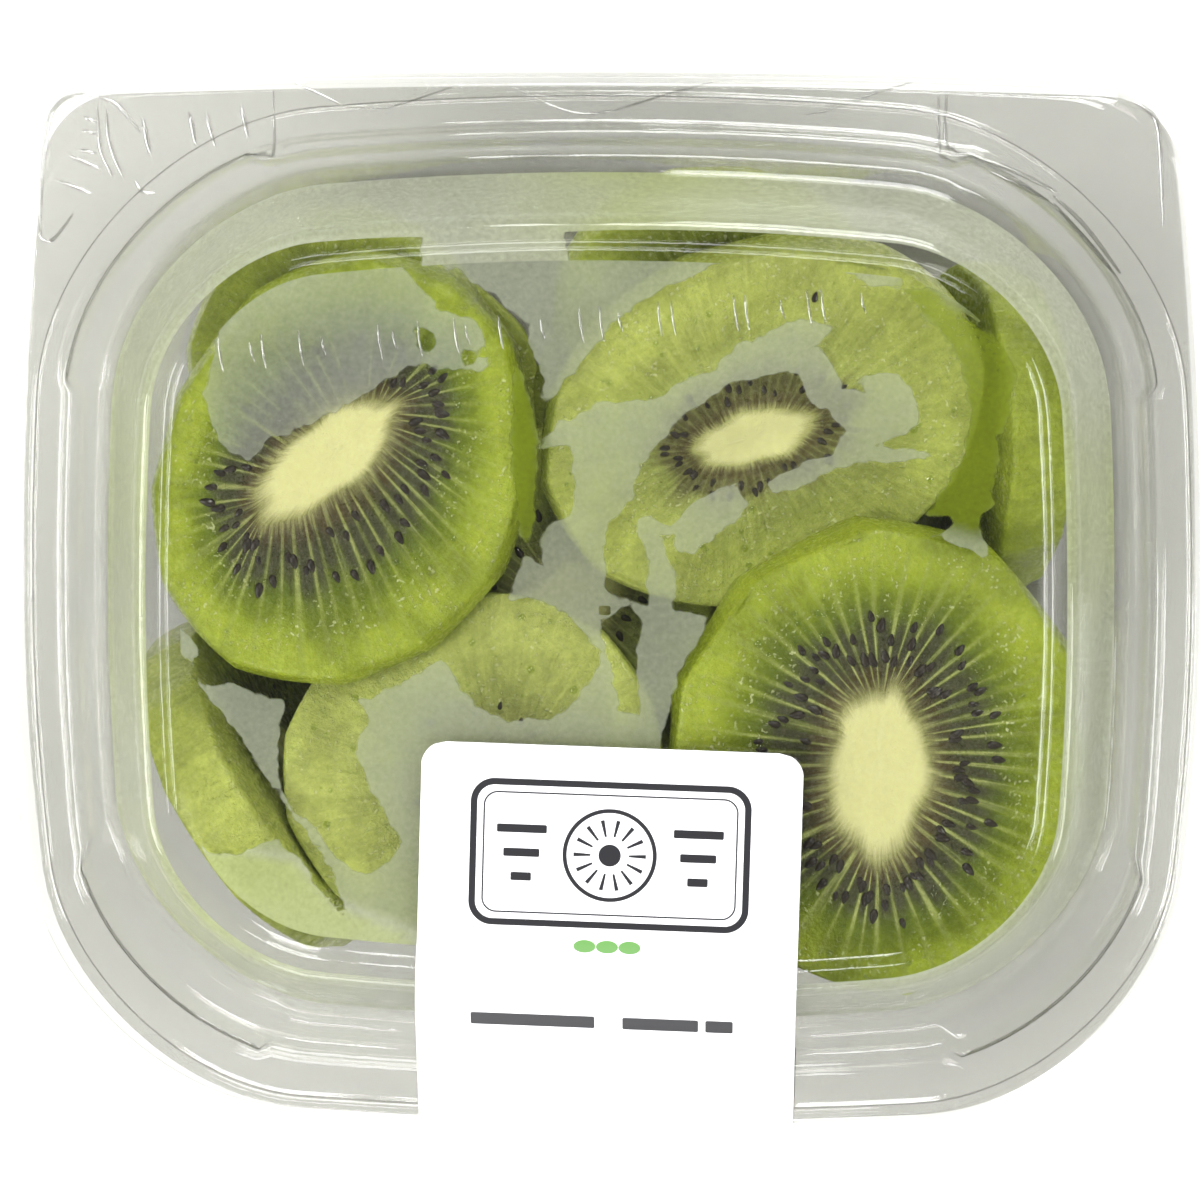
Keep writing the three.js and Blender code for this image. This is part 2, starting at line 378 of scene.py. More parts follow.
def roundedProfile(profile, radius, steps=4):
    profile = [np.array(p, float) for p in profile]
    points = [profile[0]]
    for before, at, after in zip(profile, profile[1:], profile[2:]):
        back, ahead = before - at, after - at
        reach = min(radius, 0.45 * np.linalg.norm(back), 0.45 * np.linalg.norm(ahead))
        start = at + back / np.linalg.norm(back) * reach
        end = at + ahead / np.linalg.norm(ahead) * reach
        points.append(between(points[-1], start, 0.5))
        for t in np.linspace(0, 1, steps + 1):
            points.append((1 - t) ** 2 * start + 2 * t * (1 - t) * at + t**2 * end)
    points.append(profile[-1])
    return np.array(points)


def lowerSide(profile, thickness):
    ahead = np.vstack([profile[1:], profile[-1:] * 2 - profile[-2:-1]])
    behind = np.vstack([profile[:1] * 2 - profile[1:2], profile[:-1]])
    along = ahead - behind
    along /= np.linalg.norm(along, axis=1)[:, None]
    return profile + np.column_stack([along[:, 1], -along[:, 0]]) * thickness


lockStrips = {  # where the lid's narrow locking groove runs; round the corners it is wide
    "front": (-38.0, 41.0),
    "back": (-38.0, 41.0),
    "left": (-27.0, 26.0),
    "right": (-27.0, 26.0),
    "blend": 0.8,
}


def cornerShare(ring, strips=lockStrips):  # 1 where the wide corner groove runs, 0 along the sides
    x, y = ring.T
    onEnds = np.abs(y) / np.abs(y).max() > np.abs(x) / np.abs(x).max()
    sides = {
        "front": onEnds & (y < 0),
        "back": onEnds & (y > 0),
        "left": ~onEnds & (x < 0),
        "right": ~onEnds & (x > 0),
    }
    share = np.ones(len(ring))
    for name, there in sides.items():
        start, end = strips[name]
        run = x if name in ("front", "back") else y
        outside = np.maximum(start - run, run - end)
        share[there] = np.clip(outside[there] / strips["blend"] + 0.5, 0, 1)
    return share


def sheetLines(sheet, lower):  # the rings of one side of a sheet, from its edge in, and their insets
    side, corner = [roundedProfile(sheet[key], sheet["round"]) for key in ("side", "corner")]
    if lower:
        side, corner = [lowerSide(profile, packBox["sheet"]) for profile in (side, corner)]
    share = cornerShare(planRing(sheet["grooveInset"], sheet["centreX"]))[:, None]
    lines = []
    for (inset, z), (cornerInset, cornerZ) in zip(side, corner):
        plan = between(planRing(inset, sheet["centreX"]), planRing(cornerInset, sheet["centreX"]), share)
        wave = sheetWave(*plan.T)[:, None] * sheet["waviness"]
        lines.append(np.hstack([plan, between(z, cornerZ, share) + sheet["level"] + wave]))
    return lines, side[:, 0]


def filledLines(lines, count):  # more rings from the last one to the middle
    middle = lines[-1].mean(axis=0)
    inner = []
    for t in np.linspace(0, 1, count + 1)[1:-1]:
        ring = between(lines[-1], middle, t)
        level = middle[2] + (lines[-1][:, 2] - middle[2]) * (1 - t)
        ring[:, 2] = level + (sheetWave(*ring[:, :2].T)) * t * (1 - t)
        inner.append(ring)
    return lines + inner


def formedSheet(name, sheet, finish):
    sides = [sheetLines(sheet, lower)[0] for lower in (False, True)]
    upper, lower = [filledLines(side, packBox["panelRings"]) for side in sides]
    rings = upper[::-1] + lower
    faces = ringFaces(len(rings), len(rings[0]))
    return addPiece(name, closedPoints(rings), faces, finish)


# Profiles: how far in from the edge, and how high above the sheet's level
lidRim = [(0.8, 0), (1.1, 0), (1.3, 0), (1.8, 0.45), (2.4, 0)]
lidWell = [(10.3, 1.0), (14.3, 9.6)]
lidWell += [(inset, packBox["borderRise"]) for inset in (15.2, 17.4)]
lidWell += [(inset, packBox["panelRise"]) for inset in (18.3, 19.6)]
lidSheet = {
    "centreX": packBox["lidCentreX"],
    "level": packBox["rimHeight"],
    "waviness": 1.0,
    "round": 0.45,
    "grooveInset": 7.5,
    "side": [*lidRim, (4.6, 0), (5.3, 1.0), (6.4, 1.0), (7.3, -1.9), (8.5, -1.9), (9.4, 0.5), *lidWell],
    "corner": [*lidRim, (4.0, 0), (4.5, 0.8), (5.1, 0.8), (6.0, -1.7), (8.7, -1.7), (9.5, 0.5), *lidWell],
}
footLevel = -tubRimHeight + 0.5
bottomLevel = -tubRimHeight + 1.4
tubSheet = {
    "centreX": packBox["tubCentreX"],
    "level": tubRimHeight,
    "waviness": 0.6,
    "round": 0.8,
    "grooveInset": 7.5,
    "side": [
        (-0.2, -1.8), (0, 0), (5.0, 0), (5.7, -2.3), (7.8, -2.6), (8.8, -4.4), (12.6, -20), (15.4, -33.0),
        (17.6, -36.0), (19.4, footLevel), (21.6, footLevel), (22.8, bottomLevel), (24.5, bottomLevel),
    ],
}
tubSheet["corner"] = tubSheet["side"]

clearPlastic = clearFinish("clear_plastic", clearLook)
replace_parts(formedSheet("clear_lid", lidSheet, clearPlastic), "lid")
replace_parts(formedSheet("clear_tub", tubSheet, clearPlastic), "tub")
print("lid and tub made")

hinge = {"length": 104.0, "gap": 0.3, "stations": 80, "steps": 12, "rise": 1.5, "bulge": 0.5}


def makeHinge(size, box=packBox):
    a = np.linspace(-math.pi / 2, math.pi / 2, size["steps"] + 1)
    level = tubRimHeight + box["sheet"] / 2
    rings = []
    for x in np.linspace(0.5, -0.5, size["stations"] + 1) * size["length"]:
        edge = box["rimBack"] * (1 - box["endBow"][0] * (x / box["rimHalfWidth"]) ** 2) + size["gap"]
        ys = edge + size["bulge"] * np.cos(a)
        rings.append(np.column_stack([np.full(len(a), x), ys, level + size["rise"] * np.sin(a)]))
    faces = ringFaces(len(rings), len(a))
    return addPiece("clear_hinge", closedPoints(rings), faces, clearPlastic)


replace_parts(makeHinge(hinge), "hinge_strip")
print("hinge made")

# Mist on the cold underside of the lid: it is clear where fruit touches the panel. Later patches lie
# over earlier ones; "pale" only lightens the mist, and the green patches are painted: a green film that
# stands in for fruit in the shaded gaps between two slices.
mistLook = {
    "tints": [
        (0.0, colour(220, 225, 216)),
        (0.5, colour(250, 252, 242)),
        # the green end is painted green light of the fruit behind, reached by the wall mist near fruit and
        # also by the pale patches
        (1.0, colour(238, 248, 184)),
    ],
    # painted: the green of fruit in shade, laid over the gaps between slices, in front and seen from behind
    "juice": colour(158, 176, 48),
    "through": colour(228, 234, 214),  # tints the light from behind
    "panel": 0.62,  # how much it covers on the panel, with more where it is pale or painted green over a gap, and on the wall
    "paleMore": 0.3,
    "paintedGapMore": 0.1,
    "wall": 0.8,
    "lit": 0.5,  # how much light comes through from behind
    "gap": 0.1,
    "wallInset": (10.0, 15.8),
    "border": [(-19.8, 38), (-2.2, 38), (-3.6, 56), (-18, 56)],  # it also covers the raised border here
    "paintedFruitLight": [(-59, 8, 26), (-50, -34, 16), (6, 54, 14), (60, 12, 12)],  # x, y, reach: where green light from the fruit behind is painted into the wall mist
    "rings": 72,
    "lobes": (120.0, 2.6),  # scale and amount of what moves a patch's outline, in millimetres
    "fringe": (480.0, 1.2),
    "clouds": (42.0, 0.9),  # and of what makes the cover uneven
    "grain": (1700.0, 0.6),
    "edgeWidth": (-0.16, 0.2),
    "far": 9.0,  # well inside the mist
}


def oval(x, y, long, short, heading):
    a = np.radians(np.arange(0, 360, 12))
    turn = math.radians(heading)
    u, v = long * np.cos(a), short * np.sin(a)
    xs = x + u * math.cos(turn) - v * math.sin(turn)
    ys = y + u * math.sin(turn) + v * math.cos(turn)
    return list(zip(xs, ys))


mistPatches = [
    ("clear", oval(-28.0, 16.5, 27.0, 22.5, 61)),
    ("mist", [
        (-42, 35), (-36, 40), (-29, 43), (-22, 42), (-20.5, 39), (-17.5, 36), (-12.5, 34), (-11, 30.5),
        (-12.5, 28.5), (-18, 29), (-20.5, 29.5), (-24, 27), (-30, 24), (-34, 22.5), (-37, 21),
        (-39.5, 18), (-42.5, 20), (-44.5, 26),
    ]),
    ("clear", [(-20.3, 33.7), (-18, 33), (-18.8, 31), (-19.6, 31.5)]),
    ("clear", [(-14.4, 31), (-12.8, 30.7), (-13, 29.8), (-14.4, 29.9)]),
    ("clear", [
        (-10, 36), (-7.5, 34.5), (-6.5, 27), (-5.8, 16), (-4.5, 6), (-7, 7), (-10, 12), (-12, 24),
        (-11.5, 33),
    ]),
    ("clear", oval(20.5, 22.0, 28.5, 20.0, 21)),
    ("mist", [
        (-5, 43), (5, 44), (12.5, 43), (9.5, 40), (6, 37.5), (2, 35.5), (-0.5, 32.5), (-2, 29),
        (-4.5, 27.4), (-5, 31), (-3.8, 36),
    ]),
    ("mist", [
        (-5.8, 19.7), (-3.8, 23), (1, 25), (8.2, 26.4), (12, 28.5), (16.7, 31.8), (21.3, 33.8),
        (27.3, 34.5), (27, 33), (22.7, 29.2), (18, 27.8), (13.5, 25.8), (9.5, 23), (6.8, 19), (5.2, 16.4),
        (4.9, 13.8), (2.2, 11.8), (1, 8.4), (1.5, 5), (-1, 1), (-3, 1.5), (-5.2, 4.4), (-5.8, 8),
        (-5, 11), (-2.4, 12.4), (-1.8, 15), (-2.4, 20), (-4.4, 20.4),
    ]),
    ("mist", [
        (5.2, 11.8), (7, 12.5), (8.8, 11), (10.8, 13), (14, 15.2), (16.8, 16.5), (17.8, 14), (17, 12),
        (13.5, 9.8), (11.5, 7.8), (9.8, 8.5), (9.5, 10.5), (7.9, 9.8), (9.5, 5), (9, 1), (7, 0.7),
        (5.9, 4.4), (6.5, 7),
    ]),
    ("mist", [
        (23.3, 31.2), (26, 31.8), (27.3, 29.9), (28.6, 27.2), (31.3, 26.6), (30.6, 28.2), (34, 28.6),
        (36, 27.3), (37.2, 24.6), (37.6, 22.6), (34.6, 21.9), (32.6, 20.6), (39, 19.4), (34, 18.6),
        (30, 18.6), (27.4, 17.8), (23.4, 15.8), (20.8, 15), (20, 16.2), (23.4, 18), (27.4, 19.6),
        (28.7, 22), (26.7, 24.6), (24.7, 25.2), (24.7, 28), (22.7, 29.8),
    ]),
    ("mist", [(28.6, 41), (31.2, 41), (35, 40), (36, 37.8), (33.8, 38.4), (30.5, 38.5), (29.2, 39.8)]),
    ("clear", [(40, 37), (47, 32), (51, 26), (53, 4), (46, 4), (44, 14), (44, 24), (42, 32)]),
    ("mist", [
        (37.8, 41), (41.7, 40.5), (46, 38.5), (50, 33), (50.5, 28), (49, 29.5), (46.3, 33.3), (43, 35.2),
        (40.4, 36.5), (38.8, 38.5),
    ]),
    ("clear", oval(33.0, -17.5, 28.5, 25.5, 90)),
    ("clear", [
        (-17.5, -4), (-15.7, 0), (-12, 1.8), (-7, 2.5), (-2.8, 1.3), (-1, -1), (1, -3.4), (0.7, -6.3),
        (-2.8, -10), (-5.8, -11.7), (-10, -11.5), (-13.4, -10.3), (-15.7, -8.2),
    ]),
    ("clear", [(1, 0), (4, 2), (6, 0), (5.5, -5), (6, -12), (3, -10), (2, -5)]),
    ("clear", [
        (-35, -9), (-32.8, -7.2), (-28.7, -6), (-25, -3), (-22.8, -4.2), (-24.6, -6.5), (-27.5, -8),
        (-26.4, -11.3), (-27, -15.5), (-25.8, -18.5), (-23, -23.2), (-21.7, -26.2), (-23.5, -28.6),
        (-26.5, -29.8), (-30, -27.5), (-32.4, -24), (-35.3, -21.5), (-36.8, -17.4), (-36.4, -12.6),
    ]),
    ("clear", [
        (-49, 0), (-46, -6), (-44.7, -9), (-41, -14), (-36.5, -20), (-31, -28), (-28, -35), (-31, -33),
        (-34, -27.5), (-36.5, -25.7), (-40, -27), (-43, -27.6), (-46, -26.4), (-49, -22.8), (-51, -12),
    ]),
    ("clear", [(-45, -7.5), (-35, -7.5), (-33, -5.5), (-40, -4.5), (-46, -4.5)]),
    # painted: green films laid over the shaded gaps between slices, at the right and between the two back
    # slices
    ("juice", [
        (35.8, 38.2), (38.6, 38.1), (40.4, 36.2), (43, 34.9), (46, 33), (48.6, 29.3), (47.5, 24),
        (46.5, 21), (46, 14), (44, 11), (38, 12.8), (40, 15.5), (42.4, 19.5), (43.2, 25), (42.2, 30),
        (39.6, 34), (37, 36.5),
    ]),
    ("juice", [(-8.5, 31), (-6.4, 22), (-6.4, 12), (-7.5, 9), (-9, 14), (-9.2, 26)]),
    ("pale", [
        (-50, -24), (-46, -27), (-40, -27), (-34.2, -28), (-29.5, -33), (-20.6, -36.4), (-18, -44),
        (-36, -44), (-48, -36),
    ]),
]


def insideShape(points, shape):  # how far inside a shape each point lies, below 0 outside
    corners = np.array(shape, float)
    inside = np.zeros(len(points), bool)
    nearest = np.full(len(points), 1e9)
    x, y = points[:, 0], points[:, 1]
    for (x0, y0), (x1, y1) in zip(corners, np.roll(corners, -1, axis=0)):
        crosses = (y0 > y) != (y1 > y)
        inside ^= crosses & (x < x0 + (y - y0) * (x1 - x0) / (y1 - y0 + 1e-9))
        t = ((x - x0) * (x1 - x0) + (y - y0) * (y1 - y0)) / ((x1 - x0) ** 2 + (y1 - y0) ** 2)
        t = np.clip(t, 0, 1)
        nearest = np.minimum(nearest, np.hypot(x - x0 - t * (x1 - x0), y - y0 - t * (y1 - y0)))
    return np.where(inside, nearest, -nearest)


def mistAt(points):  # how far inside the mist each point lies, and how pale and how green it is there
    field = np.full(len(points), mistLook["far"])
    pale = np.zeros(len(points))
    juice = np.zeros(len(points))
    for kind, shape in mistPatches:
        inside = insideShape(points, shape)
        if kind == "mist":
            field = np.maximum(field, inside)
        elif kind == "clear":
            field = np.minimum(field, -inside)
        else:
            # pale patches lighten the mist; the green ones paint fruit over the shaded gaps
            share = np.clip(inside / 2 + (0.5 if kind == "pale" else 1.0), 0, 1)
            pale = np.maximum(pale, share * (kind == "pale"))
            juice = np.maximum(juice, share * (kind == "juice"))
            field = np.maximum(field, np.where(kind == "juice", inside, -mistLook["far"]))
    return field, pale, juice


def mistFinish(look):
    finish = Finish("lid_mist")
    place = finish.place()

    def uneven(part, detail, roughness):  # noise either way of 0, by the look's scale and amount
        scale, amount = look[part]
        return (finish.noise(place, scale, detail, roughness) - 0.5) * amount

    edge = finish.attribute("mist") + uneven("lobes", 3.0, 0.5)
    edge = edge + uneven("fringe", 2.0, 0.5)
    cover = finish.attribute("cover") * (uneven("clouds", 2.0, 0.5) + uneven("grain", 2.0, 0.6) + 1.0)
    juice = finish.attribute("juice")
    # the green patches paint fruit in the shaded gaps, as the front film and as the light from behind
    tint = finish.mix(juice, finish.ramp(finish.attribute("tone"), look["tints"]), look["juice"])
    front = finish.principled(Base_Color=tint, Roughness=1.0, Specular_IOR_Level=0.0)
    pale = finish.film("Translucent", look["through"])
    green = finish.film("Translucent", look["juice"])
    behind = finish.blend(juice, pale, green)
    clear = finish.film("Transparent", (1, 1, 1, 1))
    mist = finish.blend(look["lit"], front, behind)
    return finish.surface(finish.blend(edge.step(*look["edgeWidth"]) * cover, clear, mist))


def makeMist(look):
    lines, insets = sheetLines(lidSheet, True)
    start, end = look["wallInset"]
    drop = np.array([0, 0, look["gap"]])
    wall = [line - drop for line, inset in zip(lines, insets) if start < inset]
    wallPoints = np.vstack(wall)
    onBorder = np.repeat([inset for inset in insets if start < inset], len(lines[-1])) > end
    panel = filledLines([lines[-1] - drop], look["rings"])
    panelPoints = np.vstack(panel)
    points = np.vstack(wall + [panelPoints])
    around = len(lines[-1])
    faces = stripFaces(len(wall), around) + stripFaces(len(panel), around, len(wall) * around)
    wallCount = len(wall) * around
    inside, pale, juice = mistAt(panelPoints)
    wallMist = np.where(onBorder, insideShape(wallPoints, look["border"]), look["far"])
    # painted light: the wall mist turns green near fruit that lies behind it
    green = np.zeros(wallCount)
    for x, y, reach in look["paintedFruitLight"]:
        away = (wallPoints[:, 0] - x) ** 2 + (wallPoints[:, 1] - y) ** 2
        green = np.maximum(green, np.exp(-away / reach**2))
    panelCover = look["panel"] + look["paleMore"] * pale + look["paintedGapMore"] * juice
    attributes = {
        "mist": np.concatenate([wallMist, inside]),
        "cover": np.concatenate([np.full(wallCount, look["wall"]), panelCover]),
        "tone": np.concatenate([0.5 + 0.5 * green, pale]),
        "juice": np.concatenate([np.zeros(wallCount), juice]),
    }
    addPiece("lid_mist", points, faces, mistFinish(look), attributes)


makeMist(mistLook)
print("mist made")

# Kiwi flesh. Each slice carries its own coordinates: "ray" holds the direction round the core and how
# far out a point lies (-1 core's middle, 0 core's edge, 1 peeled edge), "place" its millimetres.
fleshLook = {
    "rays": 52.0,
    "rayWander": 15.0,
    "rayLean": 1.5,
    "septum": (0.5, 0.98),  # the part of each ray's wave that is the light wall between two chambers
    "locule": (-0.3, 0.6),  # and the part outside the chamber
    "core": colour(238, 236, 172),
    "dark": colour(72, 72, 48),
    "brown": colour(84, 70, 38),
    "ray": colour(184, 192, 116),
    "wedge": colour(92, 108, 20),
    "edge": colour(172, 188, 52),
    "bands": [
        (0.00, colour(124, 126, 58)),
        (0.15, colour(90, 96, 44)),
        (0.45, colour(104, 122, 16)),
        (0.66, colour(138, 156, 24)),
        (0.85, colour(174, 190, 54)),
        (1.00, colour(172, 188, 58)),
    ],
    "olive": colour(104, 120, 8),
    "pale": colour(208, 215, 126),
    # painted highlight: the light colour of the small wet glints on the flesh
    "speck": colour(244, 249, 190),
    "roughness": 0.14,
    "spread": {  # where each part comes in and fades, between the core's edge 0 and the peeled edge 1
        "ring": ((0.0, 0.1), (0.34, 0.56)),
        "wedges": ((0.3, 0.48), (0.5, 0.8)),
        "inner": ((-0.04, 0.03), (0.1, 0.22)),
        "strands": ((-0.02, 0.08), (0.4, 0.78)),
        "outer": ((0.5, 0.7), (0.86, 1.0)),
    },
    "wander": (2.6, 9.0, 2.0, 0.5),  # scale round the core and of rayNoise's third, detail and roughness
    "fibres": (26.0, 1.6, 3.0, 0.6),
    "tufts": (10.0, 0.8, 2.0, 0.5),
    "blotch": (0.09, 2.0, 0.6),  # scale, detail and roughness of the noises that the rays don't draw out
    "cells": (0.4, 3.0, 0.6),
    "grain": (1.5, 3.0, 0.65),
    # noises that place the painted wet glints and the patches where they cluster
    "glintPatches": (0.3, 2.0, 0.5),
    "glintNoise": (2.0, 1.0, 0.5),
}


def fleshFinish(look):
    finish = Finish("kiwi_flesh")
    place = finish.attribute("place", "Vector")
    cut, deep, rayed, pale = [finish.attribute(name) for name in ("cut", "deep", "rayed", "pale")]
    east, north, out = finish.split(finish.attribute("ray", "Vector"))
    angle = east.math("ARCTAN2", north, east)

    def rayNoise(part, third):  # noise drawn out along the rays, which changes with a third number
        around, scale, detail, roughness = look[part]
        spot = finish.join(east * around, north * around, third * scale)
        return finish.noise(spot, 1.0, detail, roughness)

    wander, fibres, tufts = rayNoise("wander", pale), rayNoise("fibres", out), rayNoise("tufts", out)
    wave = (angle * look["rays"] + wander * look["rayWander"] + out * look["rayLean"]).cosine()
    names = ("blotch", "cells", "grain", "glintPatches", "glintNoise")
    blotch, cells, grain, glintPatches, glintNoise = [finish.noise(place, *look[name]) for name in names]
    # where the painted glints lie
    paintedGlints = glintNoise.step(0.6, 0.68) * glintPatches.step(0.42, 0.62)
    flesh = finish.ramp(out, look["bands"])
    flesh = finish.mix(blotch.step(0.44, 0.7) * 0.55, flesh, look["olive"])
    flesh = finish.mix(pale * (fibres * 0.5 + 0.65), flesh, look["pale"])
    septum = wave.step(*look["septum"])
    locule = 1 - wave.step(*look["locule"])
    reach = out + (tufts - 0.5) * 0.3

    def within(part, end):  # 1 where a part lies, 0 before it comes in and after it fades
        rise, fall = look["spread"][part]
        return out.step(*rise) * (1 - end.step(*fall))

    ring = within("ring", reach) * deep
    wedges = within("wedges", reach) * locule * rayed
    flesh = finish.mix(wedges * 0.6, flesh, look["wedge"])
    dark = finish.mix(pale, look["dark"], look["brown"])
    flesh = finish.mix(ring * (locule * rayed * 0.5 + 0.86 - rayed * 0.42), flesh, dark)
    inner = within("inner", out) * deep
    flesh = finish.mix(inner * (fibres.step(0.4, 0.6) * 0.6 + 0.25), flesh, look["brown"])
    strands = septum * within("strands", out) * (fibres.step(0.32, 0.62) * 0.65 + 0.15) * rayed
    flesh = finish.mix(strands, flesh, look["ray"])
    outer = within("outer", out) * rayed
    flesh = finish.mix(outer * septum * 0.22, flesh, look["ray"])
    heart = 1 - (out + (fibres - 0.5) * 0.3).step(-0.24, 0.12)
    flesh = finish.mix(heart, flesh, look["core"])
    # painted highlights: small light glints of wet flesh put into the colour; the same marks are raised a
    # little by the bump
    flesh = finish.mix(paintedGlints * (1 - heart) * out.step(0.3, 0.55) * 0.6, flesh, look["speck"])
    flesh = finish.mix(1 - cut, flesh, finish.mix(pale * 0.9, look["edge"], look["pale"]))
    uneven = (fibres - 0.5) * 0.4 + (grain - 0.5) * 0.5 + (cells - 0.5) * 0.7
    shade = uneven * (1 - heart * 0.85) + 1.0
    scaled = finish.node("ShaderNodeVectorMath", {"operation": "SCALE"}, {0: flesh, "Scale": shade})
    height = (grain * 0.9 + paintedGlints * 0.7 + fibres * 0.5) * (1 - heart * 0.85)
    shader = finish.principled(
        Base_Color=scaled.outputs[0],
        Roughness=grain * 0.25 + look["roughness"],
        Specular_IOR_Level=0.6,
        Normal=finish.bump(height, 0.8, 0.5),
        Subsurface_Weight=0.2,
        Subsurface_Radius=(1.0, 1.0, 0.3),
        Subsurface_Scale=1.4 * mm,
        Coat_Weight=0.3,
        Coat_Roughness=0.12,
        IOR=1.38,
    )
    return finish.surface(shader)


kiwiFlesh = fleshFinish(fleshLook)

sliceShape = {
    "facets": 12,  # flats that the knife left round a slice
    "flatShare": 0.986,  # mean radius of an outline with its flats, against the plain oval
    "edge": 0.7,  # rounding between a cut face and the peeled edge
    "edgeIn": 1.2,  # how much farther in than down it reaches
    "belly": 0.3,
    "twist": 0.012,
    "seedOut": (0.17, 0.5),
    "ring": 0.46,  # where the seed ring ends in the shader
    "around": (114, 228),  # points round a slice below and on top
    "inCore": (5, 9),
    "outOfCore": (14, 30),
    "patternStep": (37.0, 11.0, 5.0),  # moves the pattern on from slice to slice
    "ringSunk": (0.28, 0.2, 0.22),  # how far out the seed ring lies, how wide and how sunk it is
}


def sliceSeed(number):  # what makes each slice uneven in its own way
    return number * 1.7


# One slice: middle, tilt about X and then Y, heading of the oval, radii, thickness, how plain its flats
# are and how much wider its lower face is. The core is its own long oval: middle from the slice's middle
# (along X and Y of the pack), radii, heading. Point says how much and which way the core is drawn out, ring
# how far out the seeds reach, deep how dark their ring is, rayed how plain the rays are, pale how light
# the flesh is, seeds how many there are on each face, and fine that a slice shows and has more points.
def plainSlice(at, tilt, heading, radii, thick, flats, taper):
    return {
        "at": at, "tilt": tilt, "heading": heading, "radii": radii, "thick": thick, "flats": flats,
        "taper": taper, "core": (0.8, -0.5, 7.2, 4.3, 2.3 * heading), "point": (0.1, 0), "ring": 0.45,
        "deep": 0.4, "rayed": 0.5, "pale": 0.3, "seeds": 20, "fine": False,
    }


def topSlice(plain, **own):
    return {**plain, "fine": True, **own}


slices = {
    "top_back_left": topSlice(
        plainSlice((-29.0, 16.6, 42.4), (-1.5, -1), 61, (25.4, 20.8), 5.8, 0.6, 1.2),
        core=(-0.5, 2.7, 10.4, 4.1, 40), point=(0.16, 220), ring=0.47,
        deep=1.0, rayed=0.8, pale=0.0, seeds=74,
    ),
    "top_back_right": topSlice(
        plainSlice((19.0, 22.2, 37.2), (6.5, 7.5), 21, (26.4, 20.2), 7.2, 0.5, 0.8),
        core=(-1.4, -1.0, 7.3, 3.0, 14), point=(0.05, 0), ring=0.26,
        deep=0.95, rayed=0.2, pale=0.62, seeds=44,
    ),
    "top_front_right": topSlice(
        plainSlice((33.0, -16.4, 40.7), (3, 3), 94, (27.8, 24.0), 7.2, 1.0, 0.6),
        core=(-0.1, 0.6, 10.4, 5.8, 88), point=(0.18, 268), ring=0.47,
        deep=1.0, rayed=1.0, pale=0.0, seeds=96,
    ),
    "top_front_left": topSlice(
        plainSlice((-13.7, -18.5, 39.3), (-7, -4), 15, (21.9, 20.4), 6.0, 0.5, -0.8),
        core=(1.5, -1.5, 4.6, 2.8, 30), point=(0.05, 0), ring=0.34,
        deep=0.3, rayed=0.12, pale=0.75, seeds=22,
    ),
    "standing_front": topSlice(
        plainSlice((-39.4, -22.4, 23.6), (-72, 54), 0, (20.5, 22.5), 8.2, 0.7, 1.0),
        core=(0, 0, 7.5, 4.2, 20), pale=0.6, seeds=12,
    ),
    "standing_right": topSlice(
        plainSlice((45.6, 19.6, 21.2), (0, -72), 0, (19.8, 19.4), 7.8, 0.7, -0.8),
        core=(0, 0, 7.0, 4.4, 70), pale=0.15, seeds=12,
    ),
    "fourth_middle": plainSlice((-4.8, 0.9, 28.7), (0, 5), 15, (19.4, 18.6), 7.0, 0.8, 1.4),
    "fourth_back_left": plainSlice((-30.5, 28.8, 33.0), (-2, -1), 50, (17.6, 17.0), 9.2, 0.7, 1.6),
    "fourth_back": plainSlice((13.5, 33.8, 29.8), (10, 7), 10, (18.6, 17.2), 7.0, 0.6, 1.0),
    "fourth_right": plainSlice((37.0, -15.6, 31.0), (3, 3), 75, (17.8, 17.0), 8.0, 0.9, 1.8),
    "fourth_front": plainSlice((2.0, -33.0, 31.2), (1, 1), 100, (13.4, 13.0), 9.4, 0.7, 1.8),
    "third_back_left": plainSlice((-29.3, 19.4, 21.8), (-1, 0), 50, (21.4, 20.4), 7.6, 0.8, 1.2),
    "third_back_right": plainSlice((12.0, 21.4, 19.1), (1, 1), 140, (20.4, 19.6), 6.0, 0.6, -1.0),
    "third_front_left": plainSlice((-8.6, -22.6, 20.5), (1, -1), 35, (18.3, 17.8), 6.8, 0.9, 1.4),
    "third_front_right": plainSlice((31.0, -18.0, 22.0), (2, 2), 60, (20.8, 20.0), 7.8, 0.8, 1.2),
    "second_middle": plainSlice((-3.0, 0.5, 12.8), (0, 0), 120, (19.2, 18.6), 5.2, 0.7, -1.0),
    "second_back_left": plainSlice((-33.8, 26.2, 13.7), (0, 1), 20, (16.2, 15.8), 6.8, 0.9, 1.6),
    "second_back_right": plainSlice((20.0, 29.4, 12.8), (1, 1), 80, (15.6, 15.2), 5.8, 0.7, 1.4),
    "second_right": plainSlice((36.0, -15.2, 14.0), (1, 1), 160, (16.2, 15.8), 7.2, 0.8, -1.4),
    "second_front": plainSlice((6.4, -31.0, 13.5), (0, 0), 45, (12.6, 12.2), 6.2, 0.6, 1.8),
    "first_back_left": plainSlice((-29.4, 19.4, 6.1), (0, 1), 30, (20.8, 20.0), 7.6, 0.7, -1.2),
    "first_back_right": plainSlice((12.4, 20.6, 5.6), (0, 0), 110, (20.2, 19.6), 7.2, 0.9, -1.0),
    "first_front_left": plainSlice((-8.6, -23.0, 6.1), (1, 0), 70, (18.0, 17.6), 7.6, 0.8, -1.4),
    "first_front_right": plainSlice((30.0, -17.4, 6.1), (1, 1), 150, (20.2, 19.4), 7.4, 0.6, -1.2),
}


